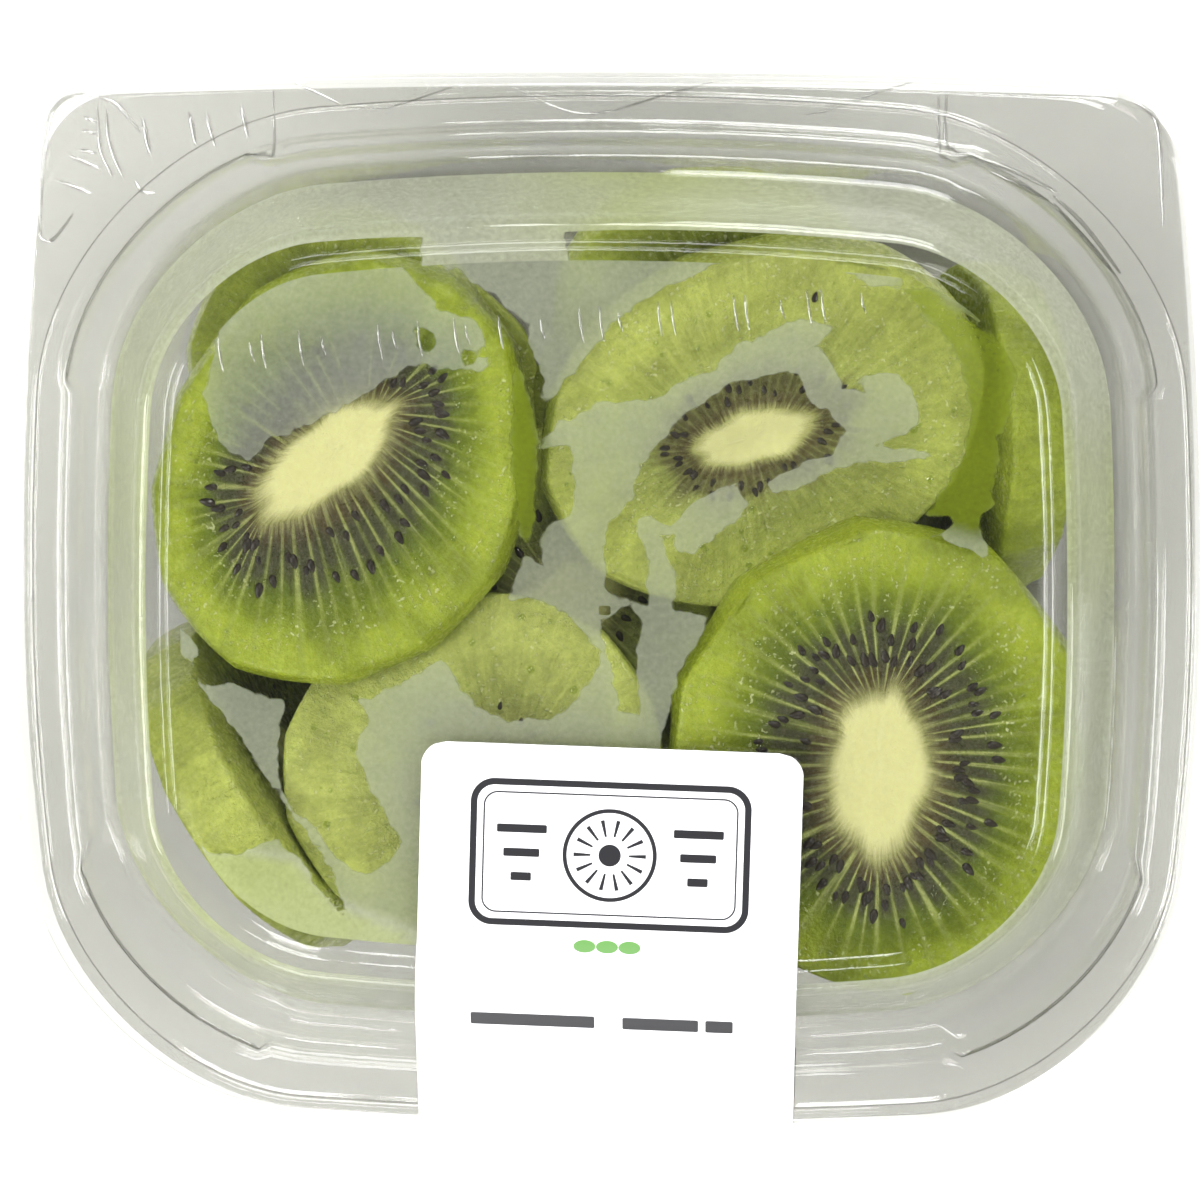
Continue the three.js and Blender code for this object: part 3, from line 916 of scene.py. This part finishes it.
def sliceRadius(angle, height, spec, seed, shape=sliceShape):  # an oval with the knife's flats
    warped = angle + 0.1 * np.sin(2 * angle + seed) + 0.06 * np.sin(3 * angle + 2 * seed)
    step = 2 * math.pi / shape["facets"]
    flat = (math.cos(step / 2) / np.cos(warped % step - step / 2)) ** spec["flats"]
    oval = 1 / np.hypot(np.cos(angle) / spec["radii"][0], np.sin(angle) / spec["radii"][1])
    uneven = 1 + 0.012 * np.sin(2 * angle + 3 * seed) + 0.014 * np.sin(3 * angle + seed)
    return oval * flat * uneven / shape["flatShare"] - spec["taper"] * height / spec["thick"]


def coreEdge(angle, spec):  # the core's outline from its own middle, in the slice's frame
    middleX, middleY, long, wide, heading = spec["core"]
    turn = math.radians(heading - spec["heading"])
    amount, towards = spec["point"]
    towards = math.radians(towards - spec["heading"])
    grow = 1 + amount * np.cos(angle - towards)
    grow = grow + 0.05 * np.sin(5 * angle + long) + 0.03 * np.sin(9 * angle)
    a = angle - turn
    x = long * np.cos(a) * grow
    y = wide * np.sin(a) * grow * (1 - 0.18 * np.cos(a) ** 4)
    home = math.radians(-spec["heading"])
    fromX = middleX * math.cos(home) - middleY * math.sin(home)
    fromY = middleX * math.sin(home) + middleY * math.cos(home)
    edgeX = fromX + x * math.cos(turn) - y * math.sin(turn)
    edgeY = fromY + x * math.sin(turn) + y * math.cos(turn)
    return np.column_stack([edgeX, edgeY]), np.array([fromX, fromY])


def ringShare(out, reach):  # moves the seed ring's end to where the shader expects it
    return np.interp(out, [-1, 0, reach, 1], [-1, 0, sliceShape["ring"], 1])


def faceRelief(angle, out, seed):  # a cut face is a little sunk at the seed ring and uneven
    middle, width, depth = sliceShape["ringSunk"]
    sunk = np.exp(-(((out - middle) / width) ** 2)) * depth
    waves = 0.10 * np.sin(angle * 2 + seed) * np.clip(out, 0, 1)
    waves = waves + 0.05 * np.sin(angle * 7 + out * 5 + seed * 3)
    fibres = 0.035 * np.sin(angle * 38 + 2 * np.sin(angle * 3 + seed)) * np.clip(out * 4, 0, 1)
    return waves * 0.5 + fibres * np.clip(1.2 - out, 0, 1) - sunk


def slicePoint(angle, out, side, spec, seed):  # points on a cut face, side 1 above and -1 below
    height = side * spec["thick"] / 2
    rim = sliceRadius(angle, height, spec, seed) - sliceShape["edge"] * sliceShape["edgeIn"]
    edge, middle = coreEdge(angle, spec)
    outline = np.column_stack([rim * np.cos(angle), rim * np.sin(angle)])
    t = np.asarray(out)[..., None]
    flat = np.where(t < 0, between(middle, edge, 1 + t), between(edge, outline, np.clip(t, 0, 1)))
    lift = faceRelief(angle, out, seed + side) * np.clip((1 - np.asarray(out)) * 6, 0, 1)
    return np.column_stack([flat, height + side * lift])


def sliceTurn(spec):
    tiltX, tiltY = [math.radians(a) for a in spec["tilt"]]
    turn = Matrix.Rotation(tiltX, 3, "X") @ Matrix.Rotation(tiltY, 3, "Y")
    return np.array(turn @ Matrix.Rotation(math.radians(spec["heading"]), 3, "Z"))


def edgeLine(spec, shape=sliceShape):  # (grow, height, how much is cut face) down the peeled edge
    half = spec["thick"] / 2
    edge = shape["edge"]
    corner = []
    for a in np.radians(np.linspace(0, 90, 6))[1:]:
        grow = -edge * shape["edgeIn"] * (1 - math.sin(a))
        corner.append((grow, half - edge * (1 - math.cos(a)), math.cos(a)))
    line = list(corner)
    for t in np.linspace(0, 1, 9)[1:-1]:
        line.append((shape["belly"] * math.sin(math.pi * t), between(half - edge, edge - half, t), 0.0))
    return line + [(grow, -height, cut) for grow, height, cut in corner[::-1]]


def makeSlice(name, number, spec):
    counts = ("around", "inCore", "outOfCore")
    around, inCore, outOfCore = [sliceShape[key][spec["fine"]] for key in counts]
    outs = list(np.linspace(-1, 0, inCore)[1:-1]) + list(np.linspace(0, 1, outOfCore))
    seed = sliceSeed(number)
    angle = np.arange(around) * 2 * math.pi / around
    turn = sliceTurn(spec)
    rings, rays, cuts = [], [], []
    direction = np.column_stack([np.cos(angle), np.sin(angle)])

    def addRing(points, out, cut):
        rings.append(points)
        rays.append(np.column_stack([direction, np.full(around, ringShare(out, spec["ring"]))]))
        cuts.append(np.full(around, cut))

    for out in outs:
        addRing(slicePoint(angle, np.full(around, out), 1, spec, seed), out, 1.0)
    for grow, height, cut in edgeLine(spec):
        radius = sliceRadius(angle + sliceShape["twist"] * height, height, spec, seed) + grow
        addRing(np.column_stack([radius[:, None] * direction, np.full(around, height)]), 1.0, cut)
    for out in outs[:-1][::-1]:
        addRing(slicePoint(angle, np.full(around, out), -1, spec, seed), out, 1.0)
    local = closedPoints(rings)
    attributes = {
        "ray": np.vstack(rays + [[[0, 0, -1], [0, 0, -1]]]),
        "place": local + np.array(sliceShape["patternStep"]) * (number + 1),
        "cut": np.concatenate(cuts + [[1.0, 1.0]]),
    }
    for key in ("deep", "rayed", "pale"):
        attributes[key] = np.full(len(local), spec[key])
    faces = ringFaces(len(rings), around)
    points = local @ turn.T + np.array(spec["at"])
    piece = addPiece("kiwi_" + name, points, faces, kiwiFlesh, attributes)
    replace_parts(piece, "slice_" + name)


for number, (name, spec) in enumerate(slices.items()):
    makeSlice(name, number, spec)
print("slices made:", len(slices))

dropMesh = {"Segments": 9, "Rings": 6, "Radius": 0.5}


class Grower(NodeTree):  # a Geometry Nodes tree that turns a plain mesh into many small shapes
    def __init__(self, name, material):
        super().__init__(bpy.data.node_groups.new(name, "GeometryNodeTree"))
        for way in ("INPUT", "OUTPUT"):
            self.tree.interface.new_socket("Geometry", in_out=way, socket_type="NodeSocketGeometry")
        self.inputs = {}
        self.material = material
        self.given = self.node("NodeGroupInput")

    def input(self, name, value):
        socket = self.tree.interface.new_socket(name, in_out="INPUT", socket_type="NodeSocketFloat")
        socket.default_value = value
        self.inputs[socket.identifier] = value
        return self.given.outputs[name]

    def attribute(self, name, kind):
        return self.out("GeometryNodeInputNamedAttribute", {"data_type": kind}, {"Name": name})

    def run(self, piece, geometry):  # grows the shapes on a piece and keeps the plain mesh
        plain = self.out("GeometryNodeRealizeInstances", values={0: geometry})
        smooth = self.out("GeometryNodeSetShadeSmooth", values={0: plain})
        coated = self.out("GeometryNodeSetMaterial", values={0: smooth, "Material": self.material})
        self.node("NodeGroupOutput", values={0: coated})
        modifier = piece.modifiers.new("grow", "NODES")
        modifier.node_group = self.tree
        for identifier, value in self.inputs.items():
            modifier[identifier] = value
        graph = bpy.context.evaluated_depsgraph_get()
        done = bpy.data.meshes.new_from_object(piece.evaluated_get(graph))
        done.name = piece.name
        piece.modifiers.remove(modifier)
        old = piece.data
        piece.data = done
        bpy.data.meshes.remove(old)


def growDrops(name, spots, finish, shape):  # flattened drops, taper 0 for a round one
    points, turns, sizes = spots
    piece = makeMesh(name, points, [], finish, {"turn": turns, "size": sizes})
    grower = Grower(name, finish)
    length, width, height = [grower.input(key, shape[key] * mm) for key in ("Length", "Width", "Height")]
    taper = grower.input("Taper", shape["Taper"])
    ball = grower.out("GeometryNodeMeshUVSphere", values=dropMesh)
    place = grower.out("GeometryNodeInputPosition")
    along = grower.out("ShaderNodeSeparateXYZ", values={0: place})
    narrow = grower.out("ShaderNodeMath", {"operation": "MULTIPLY"}, {0: along, 1: taper})
    narrow = grower.out("ShaderNodeMath", {"operation": "SUBTRACT"}, {0: 1.0, 1: narrow})
    drop = place
    for factors in ((1.0, narrow, narrow), (length, width, height)):
        settings = {"operation": "MULTIPLY"}
        drop = grower.out("ShaderNodeVectorMath", settings, {0: drop, 1: grower.join(*factors)})
    values = {
        "Points": grower.given.outputs["Geometry"],
        "Instance": grower.out("GeometryNodeSetPosition", values={"Geometry": ball, "Position": drop}),
        "Rotation": grower.attribute("turn", "FLOAT_VECTOR"),
        "Scale": grower.attribute("size", "FLOAT"),
    }
    grower.run(piece, grower.out("GeometryNodeInstanceOnPoints", values=values))
    keepPiece(piece)
    print(name, "made:", len(points))


def placeOnFace(chance, number, spec, side, angle, out, sunk, swing):  # points and turns on a cut face
    turn = sliceTurn(spec)
    inner = slicePoint(angle, out, side, spec, sliceSeed(number))
    outer = slicePoint(angle, out + 0.02, side, spec, sliceSeed(number))
    points, turns = [], []
    for here, there in zip(inner, outer):
        along = Vector(there - here).normalized()
        across = Vector((0, 0, side)).cross(along).normalized()
        up = along.cross(across)
        local = Matrix((along, across, up)).transposed()
        local = local @ Matrix.Rotation(chance.normal(0, swing), 3, "Z")
        turns.append((Matrix(turn.tolist()) @ local).to_euler())
        points.append(turn @ (here - np.array(up) * sunk) + np.array(spec["at"]))
    return points, turns


# Seeds: flattened drops in the chambers round the core, half sunk in the cut face
seedShape = {"Length": 1.95, "Width": 1.0, "Height": 0.75, "Taper": 0.75}
seedSpread = {
    "seed": 5,
    "sunk": 0.1,
    "swing": 0.2,
    "sizes": (0.7, 1.1),
    "crowding": 1.15,  # above 1 draws them towards the core
    "smaller": 0.75,  # in pale slices
    "turnStep": 0.618034,  # of a whole turn from one seed to the next
    "jitter": 0.3,
    "stray": ("top_back_right", 0.85, 0.75),  # a lone seed: slice, angle and how far out
}
seedTints = {"dark": colour(16, 13, 9), "light": colour(50, 38, 26)}


def seedFinish(tints):
    finish = Finish("kiwi_seed")
    speck = finish.noise(finish.place(), 900, 2.0)
    shader = finish.principled(
        Base_Color=finish.mix(speck, tints["dark"], tints["light"]),
        Roughness=speck * 0.2 + 0.25,
        Coat_Weight=0.4,
        Coat_Roughness=0.1,
    )
    return finish.surface(shader)


def makeSeeds(spread):
    chance = np.random.default_rng(spread["seed"])
    points, turns, sizes = [], [], []

    def add(number, spec, side, angle, out, sunk, swing):
        more = placeOnFace(chance, number, spec, side, angle, out, sunk, swing)
        points.extend(more[0])
        turns.extend(more[1])

    for number, spec in enumerate(slices.values()):
        count = spec["seeds"]
        for side in (1, -1):
            jitter = chance.uniform(-spread["jitter"], spread["jitter"], count) / count
            angle = (np.arange(count) * spread["turnStep"] % 1 + jitter) * 2 * math.pi
            out = between(*sliceShape["seedOut"], chance.uniform(0, 1, count) ** spread["crowding"])
            out = out * spec["ring"] / sliceShape["ring"]
            add(number, spec, side, angle, out, spread["sunk"], spread["swing"])
            share = spread["smaller"] if spec["pale"] > 0.5 else 1.0
            sizes += list(chance.uniform(*spread["sizes"], count) * share)
    name, angle, out = spread["stray"]
    add(list(slices).index(name), slices[name], 1, np.array([angle]), np.array([out]), 0.0, 0.1)
    sizes.append(spread["sizes"][0])
    growDrops("kiwi_seeds", (points, turns, sizes), seedFinish(seedTints), seedShape)


makeSeeds(seedSpread)

# Juice: small round beads on the cut faces that show
juiceShape = {"Length": 1.0, "Width": 1.0, "Height": 0.5, "Taper": 0.0}
juiceLook = {
    "straightThrough": colour(238, 244, 200),
    "slantedThrough": colour(160, 174, 84),
    "mirrorHeadOn": 0.12,
    "mirrorRoughness": 0.12,
}
juiceSpread = {
    "seed": 11,
    "perSlice": 90,
    "sizes": (0.25, 1.0),
    "mostlySmall": 3,  # the power that makes large ones rare
    "out": (0.3, 0.98),
    "sunk": 0.0,
    "swing": 1.0,
}


def makeJuice(spread):
    chance = np.random.default_rng(spread["seed"])
    count = spread["perSlice"]
    points, turns, sizes = [], [], []
    for number, spec in enumerate(slices.values()):
        if not spec["fine"]:
            continue
        angle = chance.uniform(0, 2 * math.pi, count)
        out = chance.uniform(*spread["out"], count)
        more = placeOnFace(chance, number, spec, 1, angle, out, spread["sunk"], spread["swing"])
        points += more[0]
        turns += more[1]
        sizes += list(between(*spread["sizes"], chance.uniform(0, 1, count) ** spread["mostlySmall"]))
    growDrops("juice_drops", (points, turns, sizes), clearFinish("juice", juiceLook), juiceShape)


makeJuice(juiceSpread)

# Beads formed in the lid: tab outlines and ribs at the back corners and creases by the hinge, each with
# its thickness and a line of points on the rim, and a row of short ribs across the panel.
rimLines = [
    (0.32, [
        (-64.5, 44.5), (-64.2, 50), (-63.6, 55), (-63, 57.6), (-61.6, 59.2), (-59.8, 59.8), (-57.6, 59.6),
    ]),
    (0.30, [(-57.6, 59.6), (-55.6, 58.8), (-54.2, 57.4), (-52.6, 55.4)]),
    (0.26, [(-56.6, 58.0), (-56.4, 55.0), (-55.7, 52.4), (-54.8, 50.4)]),
    (0.26, [(-57.6, 58.2), (-57.5, 55.0), (-57.2, 53.0), (-56.0, 50.4)]),
    (0.24, [(-64.5, 44.5), (-64.2, 43.0), (-62.8, 43.2), (-60.6, 46.0)]),
    (0.34, [(-52.4, 57.0), (-52.0, 55.0), (-51.6, 53.0)]),
    (0.28, [(-47.0, 57.8), (-46.6, 56.0), (-46.3, 54.0)]),
    (0.28, [(-45.0, 57.8), (-44.6, 56.0), (-44.0, 53.8)]),
    (0.30, [(-41.0, 58.5), (-40.6, 57.0), (-40.2, 54.8)]),
    (0.24, [(-59.2, 57.2), (-57.8, 56.6)]),
    (0.24, [(-59.4, 55.6), (-57.9, 55.3)]),
    (0.24, [(-59.6, 53.4), (-57.9, 53.0)]),
    (0.26, [(-60.8, 52.7), (-57.4, 51.2)]),
    (0.26, [(-62.2, 49.8), (-58.6, 48.4)]),
    (0.26, [(-53.4, 49.8), (-52.4, 48.6), (-51.0, 48.4)]),
    (0.20, [(-37.2, 60.2), (-37.2, 53.4), (-38.4, 53.0), (-40.6, 52.8)]),
    (0.28, [(40.2, 60.0), (40.1, 55.0), (40.6, 53.9), (41.8, 53.2)]),
    (0.26, [(39.3, 59.8), (39.4, 54.0), (40.0, 52.8), (41.4, 52.2)]),
    (0.32, [(61.6, 59.2), (63.0, 58.4), (64.2, 57.0), (64.7, 53.0), (65.1, 45.0)]),
    (0.30, [(44.2, 52.8), (48.5, 51.1), (53.1, 48.8)]),
    (0.26, [(45.3, 51.2), (49.0, 49.5), (52.0, 47.9)]),
    (0.28, [(52.5, 48.5), (56.2, 45.0), (60.3, 39.6)]),
    (0.24, [(52.6, 47.6), (55.6, 44.2), (59.5, 39.6)]),
    (0.16, [(-34.9, 61.2), (-32.0, 60.0), (-28.8, 58.4)]),
    (0.13, [(-28.8, 58.4), (-24.0, 58.4), (-16.0, 60.9)]),
    (0.13, [(-10.1, 61.0), (-1.4, 57.7), (8.6, 60.1), (13.5, 61.4)]),
    (0.14, [(24.0, 57.6), (27.0, 58.3), (31.6, 60.0), (36.2, 61.4)]),
]
panelRibs = {
    "from": (-42.5, 30.6),
    "to": (33.0, 37.0),
    "count": 27,
    "gapEvery": 7,
    "firstGap": 5,
    "shortEvery": 3,
    "firstShort": 1,
    "height": 4.0,
    "shortShare": 0.55,
    "wander": (0.012, 2.3),  # how far along the row a rib strays, as a share, and how that changes
    "thick": 0.15,
    "lean": 0.35,
    "leanAbove": 0.6,
    "proud": (0.02, 0.06),  # how far the ends and the middle stand above the panel
}
beadEnds = {"angle": 0.12, "power": 0.4}  # a bead swells from its ends as this power of a sine
beadLook = {
    "straightThrough": clearLook["straightThrough"],
    "slantedThrough": colour(232, 232, 230),
    "mirrorHeadOn": 0.16,
    "mirrorRoughness": 0.2,
}


def beadPaths(ribs):
    level = packBox["rimHeight"]
    paths = [(thick, [(x, y, level + sheetWave(x, y)) for x, y in line]) for thick, line in rimLines]
    for index in range(ribs["count"]):
        t = index / (ribs["count"] - 1)
        if index % ribs["gapEvery"] == ribs["firstGap"]:
            continue
        t += ribs["wander"][0] * math.sin(index * ribs["wander"][1])
        x, y = between(np.array(ribs["from"]), np.array(ribs["to"]), t)
        short = index % ribs["shortEvery"] == ribs["firstShort"]
        tall = ribs["height"] * (ribs["shortShare"] if short else 1.0)
        end, top = [panelLevel + proud for proud in ribs["proud"]]
        low = (x + ribs["lean"], y - tall / 2, end)
        high = (x - ribs["lean"] * ribs["leanAbove"], y + tall / 2, end)
        paths.append((ribs["thick"], [low, (x, y, top), high]))
    return paths


def smoothPath(points, steps=6):  # a curve through the points
    points = np.array(points, float)
    ends = np.vstack([points[:1] * 2 - points[1:2], points, points[-1:] * 2 - points[-2:-1]])
    curve = []
    for a, b, c, d in zip(ends, ends[1:], ends[2:], ends[3:]):
        for t in np.linspace(0, 1, steps + 1)[:-1]:
            square = (2 * a - 5 * b + 4 * c - d) * t**2
            cube = (3 * b - a - 3 * c + d) * t**3
            curve.append(0.5 * (2 * b + (c - a) * t + square + cube))
    return np.array(curve + [points[-1]])


def makeBeads():
    points, edges, thick = [], [], []
    for radius, path in beadPaths(panelRibs):
        curve = smoothPath(path)
        start = len(points)
        points += list(curve)
        edges += [(start + i, start + i + 1) for i in range(len(curve) - 1)]
        swell = np.linspace(beadEnds["angle"], math.pi - beadEnds["angle"], len(curve))
        ends = np.sin(swell) ** beadEnds["power"]
        thick += list(radius * ends * mm)
    beadPlastic = clearFinish("lid_beads", beadLook)
    piece = makeMesh("lid_beads", points, [], beadPlastic, {"thick": thick}, edges)
    grower = Grower("lid_beads", beadPlastic)
    width = grower.input("Width", 1.0)
    circle = {"Resolution": 8, "Radius": width}
    values = {
        "Curve": grower.out("GeometryNodeMeshToCurve", values={0: grower.given.outputs["Geometry"]}),
        "Profile Curve": grower.out("GeometryNodeCurvePrimitiveCircle", values=circle),
        "Scale": grower.attribute("thick", "FLOAT"),
        "Fill Caps": True,
    }
    grower.run(piece, grower.out("GeometryNodeCurveToMesh", values=values))
    keepPiece(piece)
    print("beads made")


makeBeads()

# Label: paper whose middle line runs from the panel over the raised border and round the front edge
labelSize = {
    "width": 44.0,
    "thick": 0.25,
    "centreX": 2.9,
    "top": -14.4,
    "turn": -1.6,
    "corner": 2.8,
    "cornerRows": 8,
    "fold": 1.4,  # radius where it bends, and the steps round a bend
    "foldSteps": 5,
    "across": 24,
}
labelOnPanel = [(labelSize["top"], 0.45), (-37.4, 0.45), (-39.6, 1.6), (-44.6, 1.6)]
labelRoundRim = [(-60.4, 1.0), (-61.7, -0.6), (-61.9, -2.4), (-61.1, -3.5), (-56.6, -4.9), (-52.0, -4.9)]
labelLine = [(y, panelLevel + up) for y, up in labelOnPanel]
labelLine += [(y, packBox["rimHeight"] + up) for y, up in labelRoundRim]
printDesign = {  # millimetres across from the label's middle and down from its top
    "ink": colour(24, 24, 28),
    "green": colour(84, 132, 62),
    "paper": colour(240, 240, 242),
    "fibre": colour(222, 222, 226),
    "frameDown": 12.6,
    "frames": [(15.8, 8.2, 2.4, 0.8), (14.6, 7.0, 1.6, 0.22)],  # half width and height, corner, line
    "wheel": {"ring": 5.2, "line": 0.5, "hub": 1.3, "spokes": 14.0, "reach": (2.2, 4.2)},
    "rows": {"away": 10.2, "down": 9.8, "apart": 2.8, "halves": (2.9, 2.1, 1.2)},
    "rowHeight": (0.5, 0.2),  # half height and corner
    "bars": [(-8.4, 7.2), (6.4, 4.4), (13.2, 1.6)],  # middle and half width
    "barDown": 32.6,
    "barHeight": (0.95, 0.25),
    "dots": [-2.6, 0, 2.6],
    "dotDown": 23.4,
    "dotSize": (1.3, 0.8),
}


def paperFinish(look):
    finish = Finish("label_paper")
    across, along, _ = finish.split(finish.attribute("sheet", "Vector"))
    middle = look["frameDown"]

    def block(middleX, middleY, halfX, halfY, corner):  # distance outside a rounded block
        x = ((across - middleX).absolute() - (halfX - corner)).high(0.0)
        y = ((along - middleY).absolute() - (halfY - corner)).high(0.0)
        return (x * x + y * y) ** 0.5 - corner

    def disc(middleX, middleY, radiusX, radiusY):
        x = (across - middleX) / radiusX
        y = (along - middleY) / radiusY
        return ((x * x + y * y) ** 0.5 - 1) * min(radiusX, radiusY)

    def filled(distance):
        return 1 - distance.step(-0.05, 0.05)

    def outline(distance, width):
        return filled(distance.absolute() - width / 2)

    def together(shapes):
        whole = shapes[0]
        for shape in shapes[1:]:
            whole = whole.high(shape)
        return whole

    wheel = look["wheel"]
    rows = look["rows"]
    inner, outer = wheel["reach"]
    spokeAngle = (along - middle).math("ARCTAN2", along - middle, across)
    spokes = (spokeAngle * wheel["spokes"]).cosine().step(0.55, 0.8)
    spokes = spokes * filled(disc(0, middle, outer, outer)) * (1 - filled(disc(0, middle, inner, inner)))
    shapes = [outline(block(0, middle, *frame), line) for *frame, line in look["frames"]]
    shapes.append(outline(disc(0, middle, wheel["ring"], wheel["ring"]), wheel["line"]))
    shapes.append(filled(disc(0, middle, wheel["hub"], wheel["hub"])))
    shapes.append(spokes)
    for side in (-1, 1):
        for row, half in enumerate(rows["halves"]):
            down = rows["down"] + row * rows["apart"]
            shapes.append(filled(block(side * rows["away"], down, half, *look["rowHeight"])))
    for middleX, half in look["bars"]:
        shapes.append(filled(block(middleX, look["barDown"], half, *look["barHeight"])))
    ink = together(shapes)
    dots = together([filled(disc(x, look["dotDown"], *look["dotSize"])) for x in look["dots"]])
    fibre = finish.noise(finish.join(across, along, 0.0), 1.6, 4.0, 0.7)
    sheet = finish.mix(fibre.step(0.3, 0.8) * 0.3, look["paper"], look["fibre"])
    sheet = finish.mix(dots, sheet, look["green"])
    sheet = finish.mix(ink, sheet, look["ink"])
    normal = finish.bump(fibre, 0.15, 0.05)
    return finish.surface(finish.principled(Base_Color=sheet, Roughness=0.55 - ink * 0.15, Normal=normal))


def makeLabel(size):
    line = roundedProfile(labelLine, size["fold"], size["foldSteps"])
    lead = np.linspace(0, size["corner"], size["cornerRows"] + 1)[:-1]
    rows = [(size["top"] - d, labelLine[0][1]) for d in lead]
    rows += [tuple(p) for p in line if p[0] < size["top"] - size["corner"] or p[1] < labelLine[0][1] - 1]
    rows = np.array(rows)
    steps = np.linalg.norm(np.diff(rows, axis=0), axis=1)
    along = np.concatenate([[0], np.cumsum(steps)])
    tangent = np.gradient(rows, axis=0)
    tangent /= np.linalg.norm(tangent, axis=1)[:, None]
    lift = np.column_stack([tangent[:, 1], -tangent[:, 0]]) * size["thick"]
    near = np.clip(1 - along / size["corner"], 0, 1)
    half = size["width"] / 2 - size["corner"] * (1 - np.sqrt(np.clip(1 - near**2, 0, 1)))
    share = np.linspace(1, -1, size["across"] + 1)
    loops, sheets = [], []

    def across(line, rest):  # points in a line across the label
        return np.column_stack([line, np.full((len(line), 2), rest)])

    for row, up, width, run in zip(rows, lift, half, along):
        front, back = share * width, share[::-1] * width
        loops.insert(0, np.vstack([across(front, row + up), across(back, row)]))
        sheets.insert(0, np.vstack([across(front, (run, 0.0)), across(back, (run, 0.0))]))
    local = closedPoints(loops)
    a = math.radians(size["turn"])
    x = size["centreX"] + local[:, 0] * math.cos(a) - local[:, 1] * math.sin(a)
    y = local[:, 0] * math.sin(a) + local[:, 1] * math.cos(a)
    points = np.column_stack([x, y, local[:, 2]])
    faces = ringFaces(len(loops), len(loops[0]))
    attributes = {"sheet": closedPoints(sheets)}
    piece = addPiece("paper_label", points, faces, paperFinish(printDesign), attributes)
    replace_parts(piece, "label")


makeLabel(labelSize)
print("label made")

# Floor, lights and the grey room that the plastic mirrors
studio = {
    "floor": colour(242, 242, 242),
    "floorSpeck": colour(244, 244, 243),
    "reach": 3.0,  # in metres
    "room": (0.62, 0.62, 0.61, 1.0),
    "roomStrength": 0.3,
    "lampAim": (0, 0, 30),
}
lamps = {  # place, size and power of each soft light, aimed at the pack
    "left": {"at": (-500, -120, 420), "size": 300, "power": 4.9},
    "right": {"at": (480, -180, 380), "size": 240, "power": 2.8},
    "front": {"at": (-120, -560, 430), "size": 320, "power": 3.6},
    "back": {"at": (120, 560, 330), "size": 260, "power": 3.7},
    "top": {"at": (60, 330, 620), "size": 240, "power": 3.0},
    "card": {"at": (-360, -40, 640), "size": 260, "power": 0.25},
}


def floorFinish(look):
    finish = Finish("floor")
    tone = finish.mix(finish.noise(finish.place(), 6, 2.0), look["floor"], look["floorSpeck"])
    return finish.surface(finish.principled(Base_Color=tone, Roughness=0.8))


def makeStudio(look, lights):
    reach = look["reach"]
    data = bpy.data.meshes.new("floor")
    corners = [(-reach, -reach, 0), (reach, -reach, 0), (reach, reach, 0), (-reach, reach, 0)]
    data.from_pydata(corners, [], [(0, 1, 2, 3)])
    data.materials.append(floorFinish(look))
    floor = bpy.data.objects.new("floor", data)
    bpy.context.scene.collection.objects.link(floor)
    world = bpy.data.worlds.new("room")
    world.use_nodes = True
    back = world.node_tree.nodes["Background"]
    back.inputs[0].default_value = look["room"]
    back.inputs[1].default_value = look["roomStrength"]
    world.cycles.sampling_method = "NONE"
    bpy.context.scene.world = world
    for name, spec in lights.items():
        lamp = bpy.data.lights.new(name, "AREA")
        lamp.size = spec["size"] * mm
        lamp.energy = spec["power"]
        lampObject = bpy.data.objects.new(name, lamp)
        place = Vector(spec["at"]) * mm
        lampObject.location = place
        away = place - Vector(look["lampAim"]) * mm
        lampObject.rotation_euler = away.to_track_quat("Z", "Y").to_euler()
        bpy.context.scene.collection.objects.link(lampObject)


makeStudio(studio, lamps)
scene = bpy.context.scene
scene.view_settings.view_transform = "Standard"
scene.cycles.transparent_max_bounces = 20
scene.cycles.max_bounces = 4
scene.cycles.diffuse_bounces = 2
scene.cycles.glossy_bounces = 2
scene.cycles.adaptive_threshold = 0.32
print("studio made")
